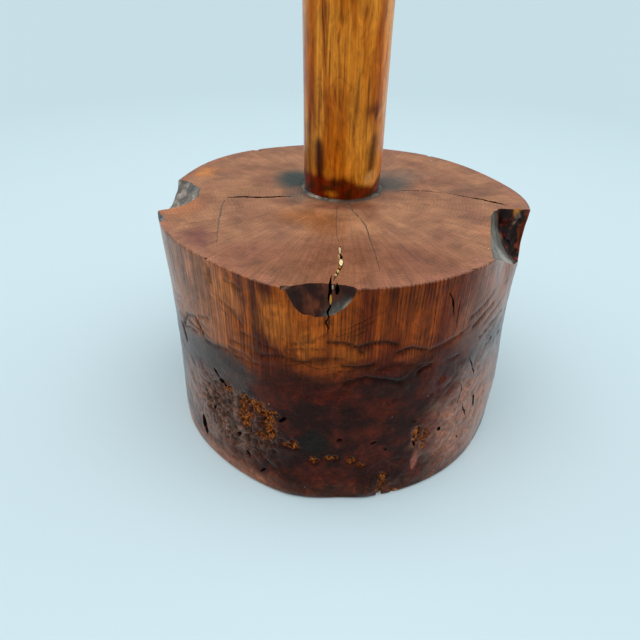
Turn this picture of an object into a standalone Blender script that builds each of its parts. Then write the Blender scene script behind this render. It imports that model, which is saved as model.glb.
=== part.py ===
"""Carving mallet: a short section of log for a head, on a whittled stick for a handle.

The handle's tenon runs down through a bore in the head. A wedge in the tenon's lower end spreads it.
Metres, +Z up. The origin is on the underside of the head, at the middle of its outline.
"""

import math

import bmesh
import bpy
from mathutils import Matrix, Vector

MM = 0.001

# Driving dimensions.
HEAD_RADIUS = 66.5 * MM
HEAD_HEIGHT = 90.0 * MM
HANDLE_REACH = 180.0 * MM
HANDLE_RADIUS = 15.1 * MM
HANDLE_CENTRE = Vector((-0.3 * MM, 12.0 * MM, 0.0))
GAP = 0.3 * MM

# The head: a log that is not quite round. Each flute is (angle in degrees, height, width in degrees).
HEAD_SIDES = 96
HEAD_FLUTES = (
    (-159.0, 1.5 * MM, 10.0),
    (-107.0, 2.8 * MM, 9.0),
    (-75.0, 0.5 * MM, 15.0),
    (0.0, 3.0 * MM, 12.0),
    (72.0, -1.7 * MM, 10.0),
    (92.0, 0.9 * MM, 10.0),
    (137.0, 3.6 * MM, 18.0),
    (180.0, 2.2 * MM, 8.0),
)
FLUTE_DEPTH_AT_FOOT = 0.5
WAIST_DEPTH = 1.1 * MM
SIDE_LEVELS = 8
UNDER_EDGE = 0.9 * MM
TOP_EDGE = 0.8 * MM
EDGE_STEPS = 3

# The handle: a sapling shaved to a few soft facets. Each level is (height above the head, radius).
HANDLE_SIDES = 48
FACET_COUNT = 7
FACET_DEPTH = 0.012
FACET_FULL_RISE = 30.0 * MM
TENON_RADIUS = 14.1 * MM
TENON_FOOT = 0.4 * MM
HANDLE_PROFILE = (
    (0.0, 14.3 * MM),
    (4.5 * MM, 14.7 * MM),
    (12.0 * MM, HANDLE_RADIUS),
    (34.0 * MM, HANDLE_RADIUS),
    (70.0 * MM, 15.6 * MM),
    (105.0 * MM, 16.0 * MM),
    (135.0 * MM, 15.5 * MM),
    (160.0 * MM, 14.8 * MM),
)
HANDLE_END_EDGE = 4.0 * MM
HANDLE_END_RADIUS = 14.4 * MM
TENON_CHAMFER = 0.5 * MM

# The bore, and the bead of glue in its mouth.
BORE_RADIUS = TENON_RADIUS + 2 * GAP
BORE_SIDES = 48
MOUTH_CHAMFER = 1.3 * MM
BEAD_RISE = 0.9 * MM

# Scallops broken out of the head's upper rim. Each ellipsoid is (centre, radii).
FRONT_SCALLOP = (Vector((-8.0, -78.0, 93.0)) * MM, Vector((18.0, 14.0, 20.0)) * MM)
LEFT_SCALLOP = (Vector((-70.0, 1.5, 92.0)) * MM, Vector((14.0, 20.0, 17.0)) * MM)
RIGHT_POCKET = (Vector((63.0, -14.0, 82.0)) * MM, Vector((9.0, 7.0, 8.5)) * MM)
RIGHT_SCOOP_CENTRE = Vector((60.0, -40.0, 91.0)) * MM
RIGHT_SCOOP_SIZE = Vector((13.5, 60.0, 17.0)) * MM
RIGHT_SCOOP_TURN = math.radians(-15.7)
SCALLOP_SIDES = 32

# The three widest drying checks, along the rays of the log: (name, height of its floor, route).
# Each point of a route is (x, y, half width), in millimetres.
DRYING_CHECKS = (
    ("front_check", 80.0, ((-2.0, -41.0, 0.1), (-2.2, -54.0, 0.3), (-4.2, -62.0, 0.8), (-5.6, -72.0, 0.9))),
    ("left_check", 84.0, ((-43.4, -1.0, 0.1), (-38.0, -0.4, 0.45), (-29.0, -0.4, 0.4), (-19.4, 1.0, 0.1))),
    ("right_check", 86.0, ((20.0, 7.8, 0.1), (34.0, 8.4, 0.35), (44.0, 5.8, 0.3), (54.0, -0.4, 0.1))),
)

# How far a cutter runs past the face that it cuts.
OVERRUN = 5.0 * MM

# The wedge in the tenon's kerf.
WEDGE_LENGTH = 28.0 * MM
WEDGE_WIDTH = 26.0 * MM
WEDGE_HEEL = 3.6 * MM
WEDGE_TIP = 1.0 * MM
WEDGE_FOOT = 0.5 * MM
KERF_ANGLE = math.radians(35.0)

PARTS = "carving_mallet"
CUTTERS = "cutters"


def clear_scene():
    for obj in list(bpy.data.objects):
        bpy.data.objects.remove(obj, do_unlink=True)


def make_collection(name):
    collection = bpy.data.collections.new(name)
    bpy.context.scene.collection.children.link(collection)
    return collection


def make_material(name, colour, roughness):
    material = bpy.data.materials.new(name)
    material.use_nodes = True
    shader = material.node_tree.nodes["Principled BSDF"]
    shader.inputs["Base Color"].default_value = (*colour, 1.0)
    shader.inputs["Roughness"].default_value = roughness
    shader.inputs["Metallic"].default_value = 0.0
    return material


def make_object(name, mesh, collection):
    obj = bpy.data.objects.new(name, mesh)
    collection.objects.link(obj)
    return obj


def make_cutter(name, mesh):
    cutter = make_object(name, mesh, bpy.data.collections[CUTTERS])
    cutter.hide_render = True
    cutter.display_type = "WIRE"
    return cutter


def cut(obj, cutter):
    modifier = obj.modifiers.new(cutter.name, "BOOLEAN")
    modifier.operation = "DIFFERENCE"
    modifier.object = cutter
    modifier.solver = "EXACT"


def mesh_from(shape, name):
    bmesh.ops.recalc_face_normals(shape, faces=shape.faces)
    mesh = bpy.data.meshes.new(name)
    shape.to_mesh(mesh)
    shape.free()
    return mesh


def loft(name, rings):
    """One closed solid through a stack of rings with the same number of points."""
    shape = bmesh.new()
    rows = [[shape.verts.new(point) for point in ring] for ring in rings]
    count = len(rows[0])
    for low, high in zip(rows, rows[1:]):
        for i in range(count):
            j = (i + 1) % count
            shape.faces.new((low[i], low[j], high[j], high[i]))
    shape.faces.new(list(reversed(rows[0])))
    shape.faces.new(rows[-1])
    return mesh_from(shape, name)


def smooth_sides(mesh):
    """Smooth round the sides, with the two flat ends left flat."""
    for polygon in mesh.polygons:
        polygon.use_smooth = abs(polygon.normal.z) < 0.99


def angle_between(a, b):
    """The difference of two angles in degrees, from -180 to 180."""
    return (a - b + 180.0) % 360.0 - 180.0


def log_radius(degrees, height):
    """The head's radius at an angle and a height: flutes that fade towards the foot, and a slight waist."""
    share = height / HEAD_HEIGHT
    flutes = sum(
        rise * math.exp(-0.5 * (angle_between(degrees, centre) / width) ** 2)
        for centre, rise, width in HEAD_FLUTES
    )
    fade = FLUTE_DEPTH_AT_FOOT + (1.0 - FLUTE_DEPTH_AT_FOOT) * share
    return HEAD_RADIUS + flutes * fade - WAIST_DEPTH * math.sin(math.pi * share)


def edge_round(radius):
    """(rise, inset) along a quarter round, from the flat face out to the side."""
    steps = [math.pi / 2 * i / EDGE_STEPS for i in range(EDGE_STEPS + 1)]
    return [(radius * (1.0 - math.cos(a)), radius * (1.0 - math.sin(a))) for a in steps]


def head_levels():
    """(height, inset) from the underside to the top, with both edges worn round."""
    under = edge_round(UNDER_EDGE)
    top = [(HEAD_HEIGHT - rise, inset) for rise, inset in reversed(edge_round(TOP_EDGE))]
    low = under[-1][0]
    span = top[0][0] - low
    side = [(low + span * i / SIDE_LEVELS, 0.0) for i in range(1, SIDE_LEVELS)]
    return under + side + top


def head_ring(height, inset):
    ring = []
    for i in range(HEAD_SIDES):
        degrees = 360.0 * i / HEAD_SIDES
        radius = log_radius(degrees, height) - inset
        angle = math.radians(degrees)
        ring.append(Vector((radius * math.cos(angle), radius * math.sin(angle), height)))
    return ring


def ellipsoid(name, centre, radii):
    shape = bmesh.new()
    bmesh.ops.create_uvsphere(
        shape, u_segments=SCALLOP_SIDES, v_segments=SCALLOP_SIDES // 2, radius=1.0
    )
    bmesh.ops.scale(shape, verts=shape.verts, vec=radii)
    cutter = make_cutter(name, mesh_from(shape, name))
    cutter.location = centre
    return cutter


def cylinder(name, radius_low, radius_high, low, high, sides):
    """A round cutter on +Z from low to high, which may taper."""
    shape = bmesh.new()
    bmesh.ops.create_cone(
        shape,
        cap_ends=True,
        segments=sides,
        radius1=radius_low,
        radius2=radius_high,
        depth=high - low,
        matrix=Matrix.Translation((0.0, 0.0, (low + high) / 2)),
    )
    return make_cutter(name, mesh_from(shape, name))


def slit(name, route, floor):
    """A narrow cutter down through the top face. Each point of the route is (x, y, half width)."""
    ends = [Vector((x, y)) for x, y, _ in route]
    left = []
    right = []
    for i, (x, y, half_width) in enumerate(route):
        along = (ends[min(i + 1, len(ends) - 1)] - ends[max(i - 1, 0)]).normalized()
        across = Vector((-along.y, along.x)) * half_width
        left.append((x + across.x, y + across.y, HEAD_HEIGHT + OVERRUN))
        right.append((x - across.x, y - across.y, HEAD_HEIGHT + OVERRUN))
    shape = bmesh.new()
    face = shape.faces.new([shape.verts.new(point) for point in left + right[::-1]])
    grown = bmesh.ops.extrude_face_region(shape, geom=[face])["geom"]
    moved = [item for item in grown if isinstance(item, bmesh.types.BMVert)]
    bmesh.ops.translate(shape, verts=moved, vec=(0.0, 0.0, floor - HEAD_HEIGHT - OVERRUN))
    return make_cutter(name, mesh_from(shape, name))


def cut_bore(head):
    bore = cylinder("bore", BORE_RADIUS, BORE_RADIUS, -OVERRUN, HEAD_HEIGHT + OVERRUN, BORE_SIDES)
    mouth = cylinder(
        "bore_mouth",
        BORE_RADIUS,
        BORE_RADIUS + 2 * MOUTH_CHAMFER,
        HEAD_HEIGHT - MOUTH_CHAMFER,
        HEAD_HEIGHT + MOUTH_CHAMFER,
        BORE_SIDES,
    )
    for cutter in (bore, mouth):
        cutter.location = HANDLE_CENTRE
        cut(head, cutter)


def cut_right_scoop(head):
    """The long part of the right scallop, with a steep back wall where the scoop ends."""
    shape = bmesh.new()
    bmesh.ops.create_cone(
        shape, cap_ends=True, segments=SCALLOP_SIDES, radius1=1.0, radius2=1.0, depth=1.0
    )
    quarter_turn = Matrix.Rotation(math.pi / 2, 3, "X")
    bmesh.ops.rotate(shape, verts=shape.verts, matrix=quarter_turn)
    bmesh.ops.scale(shape, verts=shape.verts, vec=RIGHT_SCOOP_SIZE)
    scoop = make_cutter("right_scoop", mesh_from(shape, "right_scoop"))
    scoop.location = RIGHT_SCOOP_CENTRE
    scoop.rotation_euler = (0.0, 0.0, RIGHT_SCOOP_TURN)
    cut(head, scoop)


def cut_scallops(head):
    cut(head, ellipsoid("front_scallop", *FRONT_SCALLOP))
    cut(head, ellipsoid("left_scallop", *LEFT_SCALLOP))
    cut_right_scoop(head)
    cut(head, ellipsoid("right_pocket", *RIGHT_POCKET))


def cut_drying_checks(head):
    for name, floor, route in DRYING_CHECKS:
        cut(head, slit(name, [(x * MM, y * MM, half * MM) for x, y, half in route], floor * MM))


def make_head(collection):
    mesh = loft("mallet_head", [head_ring(height, inset) for height, inset in head_levels()])
    smooth_sides(mesh)
    head = make_object("mallet_head", mesh, collection)
    head.data.materials.append(make_material("varnished_log", (0.27, 0.09, 0.035), 0.35))
    cut_bore(head)
    cut_scallops(head)
    cut_drying_checks(head)
    return head


def handle_ring(height, radius, facet_depth):
    ring = []
    for i in range(HANDLE_SIDES):
        angle = 2 * math.pi * i / HANDLE_SIDES
        facets = 0.6 * math.cos(FACET_COUNT * angle) + 0.4 * math.cos(3 * angle + 1.0)
        shaved = radius * (1.0 + facet_depth * facets)
        ring.append(Vector((shaved * math.cos(angle), shaved * math.sin(angle), height)))
    return ring


def handle_rings():
    """The round tenon, then the faceted grip, then the rounded end."""
    top = HEAD_HEIGHT + HANDLE_REACH
    rings = [
        handle_ring(TENON_FOOT, TENON_RADIUS - TENON_CHAMFER, 0.0),
        handle_ring(TENON_FOOT + TENON_CHAMFER, TENON_RADIUS, 0.0),
        handle_ring(HEAD_HEIGHT / 2, TENON_RADIUS, 0.0),
    ]
    for rise, radius in HANDLE_PROFILE:
        facet_depth = FACET_DEPTH * min(1.0, rise / FACET_FULL_RISE)
        rings.append(handle_ring(HEAD_HEIGHT + rise, radius, facet_depth))
    for rise, inset in reversed(edge_round(HANDLE_END_EDGE)):
        rings.append(handle_ring(top - rise, HANDLE_END_RADIUS - inset, FACET_DEPTH))
    return rings


def tapered_box(name, width, heel, tip, low, high):
    """A wedge shape on +Z: its thickness runs from heel at the bottom to tip at the top."""
    shape = bmesh.new()
    bmesh.ops.create_cube(shape, size=1.0)
    for vert in shape.verts:
        at_top = vert.co.z > 0.0
        vert.co.x *= width
        vert.co.y *= tip if at_top else heel
        vert.co.z = high if at_top else low
    return mesh_from(shape, name)


def cut_kerf(handle):
    """The kerf follows the wedge all round with a gap, and runs out of both sides of the tenon."""
    slope = (WEDGE_HEEL - WEDGE_TIP) / WEDGE_LENGTH
    low = -WEDGE_FOOT
    high = WEDGE_FOOT + WEDGE_LENGTH + GAP
    heel = WEDGE_HEEL + slope * (WEDGE_FOOT - low) + 2 * GAP
    tip = WEDGE_TIP - slope * GAP + 2 * GAP
    kerf = make_cutter("kerf", tapered_box("kerf", 3 * TENON_RADIUS, heel, tip, low, high))
    kerf.location = HANDLE_CENTRE
    kerf.rotation_euler = (0.0, 0.0, KERF_ANGLE)
    cut(handle, kerf)


def make_handle(collection):
    mesh = loft("handle", handle_rings())
    smooth_sides(mesh)
    handle = make_object("handle", mesh, collection)
    handle.location = HANDLE_CENTRE
    handle.data.materials.append(make_material("varnished_stick", (0.45, 0.2, 0.04), 0.3))
    cut_kerf(handle)
    return handle


def make_wedge(collection):
    high = WEDGE_FOOT + WEDGE_LENGTH
    mesh = tapered_box("handle_wedge", WEDGE_WIDTH, WEDGE_HEEL, WEDGE_TIP, WEDGE_FOOT, high)
    wedge = make_object("handle_wedge", mesh, collection)
    wedge.location = HANDLE_CENTRE
    wedge.rotation_euler = (0.0, 0.0, KERF_ANGLE)
    wedge.data.materials.append(make_material("wedge_wood", (0.55, 0.36, 0.18), 0.5))
    return wedge


def make_glue_bead(collection):
    """A turned ring: it fills the bore's mouth, clear of the chamfer, and climbs the handle a little way."""
    clearance = 1.5 * GAP
    inner = HANDLE_PROFILE[0][1] + clearance
    outer = BORE_RADIUS + MOUTH_CHAMFER - clearance
    shoulder = HEAD_HEIGHT + 0.7 * BEAD_RISE
    profile = [
        (inner, HEAD_HEIGHT + BEAD_RISE),
        ((inner + outer) / 2, shoulder),
        (outer, HEAD_HEIGHT),
        (inner, HEAD_HEIGHT - MOUTH_CHAMFER + 2 * GAP),
    ]
    mesh = bpy.data.meshes.new("glue_bead")
    points = [(radius, 0.0, height) for radius, height in profile]
    edges = [(i, (i + 1) % len(points)) for i in range(len(points))]
    mesh.from_pydata(points, edges, [])
    bead = make_object("glue_bead", mesh, collection)
    bead.location = HANDLE_CENTRE
    bead.data.materials.append(make_material("grey_glue", (0.35, 0.38, 0.34), 0.35))
    turn = bead.modifiers.new("turn", "SCREW")
    turn.axis = "Z"
    turn.angle = 2 * math.pi
    turn.steps = BORE_SIDES
    turn.render_steps = BORE_SIDES
    turn.use_merge_vertices = True
    turn.merge_threshold = 0.0001
    turn.use_smooth_shade = True
    return bead


def main():
    clear_scene()
    collection = make_collection(PARTS)
    make_collection(CUTTERS)
    make_head(collection)
    make_handle(collection)
    make_wedge(collection)
    make_glue_bead(collection)


main()
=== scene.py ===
"""The looks of the carving mallet: a varnished log head of burl wood on a whittled stick.

The head, the handle and the bead of glue are fine meshes that stand for their CAD nodes. The wedge
keeps its CAD mesh. Places on the head are in millimetres, in the frame's axes: on its side they are
(angle in degrees, height), with -90 at the front, and on its upper face they are (x, y).
"""

import math
import random

import bmesh
import bpy
import numpy as np
from mathutils import Matrix, Vector, noise


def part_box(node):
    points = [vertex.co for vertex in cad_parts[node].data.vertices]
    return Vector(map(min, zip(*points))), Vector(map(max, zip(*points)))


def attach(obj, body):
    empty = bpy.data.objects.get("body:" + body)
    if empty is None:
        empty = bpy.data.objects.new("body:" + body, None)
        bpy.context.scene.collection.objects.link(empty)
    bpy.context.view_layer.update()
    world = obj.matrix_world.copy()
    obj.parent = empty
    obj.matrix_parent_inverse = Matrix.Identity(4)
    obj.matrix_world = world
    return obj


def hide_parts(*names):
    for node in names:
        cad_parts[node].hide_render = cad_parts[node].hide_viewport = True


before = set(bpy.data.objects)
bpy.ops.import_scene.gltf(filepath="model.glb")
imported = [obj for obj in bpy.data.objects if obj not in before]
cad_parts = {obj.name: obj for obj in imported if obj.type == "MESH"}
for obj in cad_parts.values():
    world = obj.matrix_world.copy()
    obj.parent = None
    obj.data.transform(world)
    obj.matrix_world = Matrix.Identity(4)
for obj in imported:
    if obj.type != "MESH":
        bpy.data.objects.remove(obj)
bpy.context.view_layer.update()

MM = 0.001

# The frame's own sizes, in millimetres.
HEAD_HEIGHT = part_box("mallet_head")[1].z / MM
BEAD_LOW, BEAD_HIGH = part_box("glue_bead")
AXIS_X = (BEAD_LOW.x + BEAD_HIGH.x) / 2 / MM
AXIS_Y = (BEAD_LOW.y + BEAD_HIGH.y) / 2 / MM
HANDLE_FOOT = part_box("handle")[0].z / MM
HANDLE_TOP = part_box("handle")[1].z / MM

# The log's outline, as in the CAD: flutes are (angle, height, width).
HEAD_RADIUS = 66.5
HEAD_FLUTES = (
    (-159.0, 1.5, 10.0),
    (-107.0, 2.8, 9.0),
    (-75.0, 0.5, 15.0),
    (0.0, 3.0, 12.0),
    (72.0, -1.7, 10.0),
    (92.0, 0.9, 10.0),
    (137.0, 3.6, 18.0),
    (180.0, 2.2, 8.0),
)
WAIST_DEPTH = 1.1
BORE_RADIUS = 14.7
BORE_MOUTH = 16.0

# How fine the head's mesh is.
HEAD_COLUMNS = 570
SIDE_ROWS = 104
FACE_ROWS = 18
UNDER_ROWS = 6


def srgb(red, green, blue):
    """A colour as a screen shows it, 0 to 255, turned into the linear values that Blender uses."""
    shown = np.array((red, green, blue)) / 255.0
    return np.where(shown <= 0.04045, shown / 12.92, ((shown + 0.055) / 1.055) ** 2.4)


def smooth(low, high, value):
    """0 below low, 1 above high, and a smooth step between."""
    share = np.clip((value - low) / (high - low), 0.0, 1.0)
    return share * share * (3.0 - 2.0 * share)


def noise_at(points, size, seed, stretch=(1.0, 1.0, 1.0)):
    """Smooth noise of about -1 to 1, with features of that size, at points in millimetres."""
    shift = Vector((13.7, 7.3, 3.1)) * seed
    scale = np.array(stretch) * size
    return np.array([noise.noise(Vector(point) + shift) for point in points / scale])


def rough_noise(points, size, seed, octaves, stretch=(1.0, 1.0, 1.0)):
    shift = Vector((13.7, 7.3, 3.1)) * seed
    scale = np.array(stretch) * size
    return np.array([noise.fractal(Vector(point) + shift, 1.0, 2.0, octaves) for point in points / scale])


def mix(one, other, share):
    """Blends colours, or arrays of colours, by a share for each point."""
    share = np.asarray(share)[..., None]
    return one * (1.0 - share) + other * share


def angle_between(a, b):
    return (a - b + 180.0) % 360.0 - 180.0


def log_radius(degrees, height):
    share = height / HEAD_HEIGHT
    flutes = sum(
        rise * np.exp(-0.5 * (angle_between(degrees, centre) / width) ** 2)
        for centre, rise, width in HEAD_FLUTES
    )
    return HEAD_RADIUS + flutes * (0.5 + 0.5 * share) - WAIST_DEPTH * np.sin(math.pi * share)


def on_side(degrees, height, outward=0.0):
    """The point of the log's side at an angle and a height."""
    radius = log_radius(degrees, height) + outward
    angle = math.radians(degrees)
    return Vector((radius * math.cos(angle), radius * math.sin(angle), height))


def side_reach(degrees, heights, centre, radii):
    """How far each side point is from a place, as a share of the two radii in millimetres."""
    across = np.radians(angle_between(degrees, centre[0])) * HEAD_RADIUS / radii[0]
    up = (heights - centre[1]) / radii[1]
    return np.hypot(across, up)


def line_distance(across, up, route):
    """The distance from each point to a line through the route's points, in millimetres."""
    nearest = np.full(across.shape, 1e9)
    for (x0, y0), (x1, y1) in zip(route, route[1:]):
        dx, dy = x1 - x0, y1 - y0
        share = np.clip(((across - x0) * dx + (up - y0) * dy) / (dx * dx + dy * dy), 0.0, 1.0)
        nearest = np.minimum(nearest, np.hypot(across - x0 - share * dx, up - y0 - share * dy))
    return nearest


def side_line_distance(degrees, heights, route):
    middle = route[0][0]
    across = np.radians(angle_between(degrees, middle)) * HEAD_RADIUS
    flat = [(math.radians(angle_between(angle, middle)) * HEAD_RADIUS, up) for angle, up in route]
    return line_distance(across, heights, flat)


# ---------------------------------------------------------------- materials


def add_node(tree, kind, inputs=None, **settings):
    made = tree.nodes.new(kind)
    for name, value in settings.items():
        setattr(made, name, value)
    for name, value in (inputs or {}).items():
        if isinstance(value, bpy.types.NodeSocket):
            tree.links.new(value, made.inputs[name])
        else:
            made.inputs[name].default_value = value
    return made


def start_material(name, roughness, specular=0.1, coat=0.0):
    material = bpy.data.materials.new(name)
    material.use_nodes = True
    tree = material.node_tree
    shader = tree.nodes["Principled BSDF"]
    shader.inputs["Roughness"].default_value = roughness
    shader.inputs["Specular IOR Level"].default_value = specular
    shader.inputs["Coat Weight"].default_value = coat
    shader.inputs["Coat Roughness"].default_value = 0.2
    return material, tree, shader


def stretched(tree, scale):
    """The object's own coordinates, in metres, scaled along each axis."""
    place = add_node(tree, "ShaderNodeTexCoord").outputs["Object"]
    return add_node(tree, "ShaderNodeMapping", {"Vector": place, "Scale": scale}).outputs["Vector"]


def grain(tree, vector, detail=3.0, roughness=0.5, distortion=0.0):
    made = add_node(
        tree,
        "ShaderNodeTexNoise",
        {"Vector": vector, "Scale": 1.0, "Detail": detail, "Roughness": roughness, "Distortion": distortion},
    )
    return made.outputs["Fac"]


def remap(tree, value, low, high, to_low, to_high):
    made = add_node(
        tree,
        "ShaderNodeMapRange",
        {"Value": value, "From Min": low, "From Max": high, "To Min": to_low, "To Max": to_high},
    )
    return made.outputs["Result"]


def maths(tree, operation, one, other=0.0):
    made = add_node(tree, "ShaderNodeMath", operation=operation)
    for socket, value in zip(made.inputs, (one, other)):
        if isinstance(value, bpy.types.NodeSocket):
            tree.links.new(value, socket)
        else:
            socket.default_value = value
    return made.outputs["Value"]


def scaled_colour(tree, colour, factor):
    """A colour multiplied by one number at each point."""
    return add_node(tree, "ShaderNodeVectorMath", {0: colour, "Scale": factor}, operation="SCALE").outputs["Vector"]


def bumped(tree, shader, height, distance, strength=1.0):
    bump = add_node(tree, "ShaderNodeBump", {"Height": height, "Distance": distance, "Strength": strength})
    tree.links.new(bump.outputs["Normal"], shader.inputs["Normal"])


def tone(tree):
    """The painted colour of the mesh, and the share of clean grain in its alpha."""
    made = add_node(tree, "ShaderNodeAttribute", attribute_name="tone")
    return made.outputs["Color"], made.outputs["Alpha"]


def attribute(tree, name):
    return add_node(tree, "ShaderNodeAttribute", attribute_name=name).outputs["Fac"]


def ramp(tree, factor, stops):
    """A colour ramp. Each stop is (position, colour)."""
    made = add_node(tree, "ShaderNodeValToRGB", {"Fac": factor})
    while len(made.color_ramp.elements) < len(stops):
        made.color_ramp.elements.new(0.5)
    for element, (position, colour) in zip(made.color_ramp.elements, stops):
        element.position = position
        element.color = (*colour, 1.0)
    return made.outputs["Color"]


def multiplied(tree, one, other):
    return add_node(tree, "ShaderNodeVectorMath", {0: one, 1: other}, operation="MULTIPLY").outputs["Vector"]


def mixed(tree, factor, one, other):
    """Blends two colours in the shader."""
    made = tree.nodes.new("ShaderNodeMix")
    made.data_type = "RGBA"
    for index, value in ((0, factor), (6, one), (7, other)):
        tree.links.new(value, made.inputs[index])
    return made.outputs[2]


def blended(tree, factor, one, other):
    """Blends two numbers in the shader."""
    return add_node(tree, "ShaderNodeMix", {"Factor": factor, "A": one, "B": other}).outputs["Result"]


def ridge(tree, value, width):
    """1 along the lines where noise crosses its middle value, and 0 a little away from them."""
    away = maths(tree, "ABSOLUTE", maths(tree, "SUBTRACT", value, 0.5))
    return remap(tree, away, 0.0, width, 1.0, 0.0)


def glancing_gloss(tree, shader, most):
    """Worn varnish, dull when looked at squarely and glossy at a glancing angle."""
    shader.inputs["Coat Roughness"].default_value = 0.32
    facing = add_node(tree, "ShaderNodeLayerWeight", {"Blend": 0.5}).outputs["Facing"]
    tree.links.new(remap(tree, facing, 0.4, 0.85, 0.0, most), shader.inputs["Coat Weight"])


def dust(tree):
    """A few pale specks, as a colour to add."""
    cells = add_node(tree, "ShaderNodeTexVoronoi", {"Vector": stretched(tree, (170.0, 170.0, 170.0)), "Scale": 1.0})
    chosen = add_node(tree, "ShaderNodeSeparateXYZ", {"Vector": cells.outputs["Color"]}).outputs["X"]
    speck = maths(tree, "LESS_THAN", cells.outputs["Distance"], 0.045)
    speck = maths(tree, "MULTIPLY", speck, maths(tree, "GREATER_THAN", chosen, 0.72))
    return scaled_colour(tree, (1.0, 0.95, 0.85), maths(tree, "MULTIPLY", speck, 0.3))


def comb_marks(tree):
    """Patches of fine upright lines, a little over a millimetre apart, left by a toothed scraper."""
    place = add_node(tree, "ShaderNodeTexCoord").outputs["Object"]
    parts = add_node(tree, "ShaderNodeSeparateXYZ", {"Vector": place})
    angle = maths(tree, "ARCTAN2", parts.outputs["Y"], parts.outputs["X"])
    drift = grain(tree, stretched(tree, (60.0, 60.0, 12.0)), detail=3.0)
    line = maths(tree, "SINE", maths(tree, "ADD", maths(tree, "MULTIPLY", angle, 350.0), maths(tree, "MULTIPLY", drift, 30.0)))
    patch = grain(tree, stretched(tree, (75.0, 75.0, 60.0)), detail=3.0, roughness=0.6)
    return maths(tree, "MULTIPLY", remap(tree, line, 0.1, 0.9, 0.0, 1.0), remap(tree, patch, 0.46, 0.6, 0.0, 1.0))


def side_material():
    """Sawn and scraped log: upright fibres above, mottled burl below, under old varnish."""
    material, tree, shader = start_material("log_side", 0.34, specular=0.07)
    glancing_gloss(tree, shader, 0.85)
    colour, clean = tone(tree)
    crumbly = remap(tree, attribute(tree, "rough"), 0.12, 0.42, 0.0, 0.9)

    fibre = grain(tree, stretched(tree, (1700.0, 1700.0, 14.0)), detail=3.0, roughness=0.6)
    streak = grain(tree, stretched(tree, (420.0, 420.0, 10.0)), detail=3.0, roughness=0.65, distortion=0.3)
    cloud = grain(tree, stretched(tree, (240.0, 240.0, 160.0)), detail=6.0, roughness=0.65, distortion=1.0)
    upright = remap(tree, comb_marks(tree), 0.0, 1.0, 1.0, 0.42)
    for layer, low, high, dark, light in (
        (fibre, 0.38, 0.6, 0.68, 1.22),
        (streak, 0.36, 0.6, 0.78, 1.14),
        (cloud, 0.33, 0.67, 0.58, 1.36),
    ):
        upright = maths(tree, "MULTIPLY", upright, remap(tree, layer, low, high, dark, light))
    sawn = scaled_colour(tree, colour, upright)

    mottle = grain(tree, stretched(tree, (330.0, 330.0, 300.0)), detail=8.0, roughness=0.68, distortion=1.2)
    blotch = ramp(
        tree,
        mottle,
        (
            (0.3, np.array((0.5, 0.55, 0.65))),
            (0.47, np.array((0.82, 0.8, 0.82))),
            (0.57, np.array((1.2, 1.06, 0.98))),
            (0.72, np.array((2.2, 1.75, 1.4))),
        ),
    )
    winding = grain(tree, stretched(tree, (210.0, 210.0, 260.0)), detail=4.0, roughness=0.6, distortion=0.8)
    vein = ridge(tree, winding, 0.018)
    burl = scaled_colour(tree, multiplied(tree, colour, blotch), remap(tree, vein, 0.0, 1.0, 1.0, 0.5))

    crumb = grain(tree, stretched(tree, (780.0, 780.0, 780.0)), detail=4.0, roughness=0.6)
    grit = add_node(tree, "ShaderNodeTexVoronoi", {"Vector": stretched(tree, (1250.0, 1250.0, 1250.0)), "Scale": 1.0})
    gritty = maths(tree, "MULTIPLY", maths(tree, "SUBTRACT", 0.95, grit.outputs["Distance"]), remap(tree, crumb, 0.34, 0.62, 0.1, 1.15))
    rotten = ramp(
        tree,
        gritty,
        (
            (0.08, srgb(26, 13, 7)),
            (0.22, srgb(96, 46, 18)),
            (0.44, srgb(166, 88, 28)),
            (0.75, srgb(206, 130, 58)),
        ),
    )
    paint = mixed(tree, crumbly, mixed(tree, clean, burl, sawn), rotten)
    paint = add_node(tree, "ShaderNodeVectorMath", {0: paint, 1: dust(tree)}, operation="ADD").outputs["Vector"]
    tree.links.new(paint, shader.inputs["Base Color"])
    gloss = remap(tree, mottle, 0.3, 0.7, 0.26, 0.42)
    tree.links.new(maths(tree, "ADD", gloss, attribute(tree, "rough")), shader.inputs["Roughness"])
    wrinkle = grain(tree, stretched(tree, (700.0, 700.0, 560.0)), detail=3.0, roughness=0.6, distortion=1.5)
    bumpy = maths(tree, "ADD", mottle, maths(tree, "MULTIPLY", ridge(tree, wrinkle, 0.12), -0.35))
    bumpy = maths(tree, "SUBTRACT", bumpy, maths(tree, "MULTIPLY", vein, 0.2))
    height = blended(tree, crumbly, blended(tree, clean, bumpy, fibre), gritty)
    bumped(tree, shader, height, 0.0011, 0.8)
    return material


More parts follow.
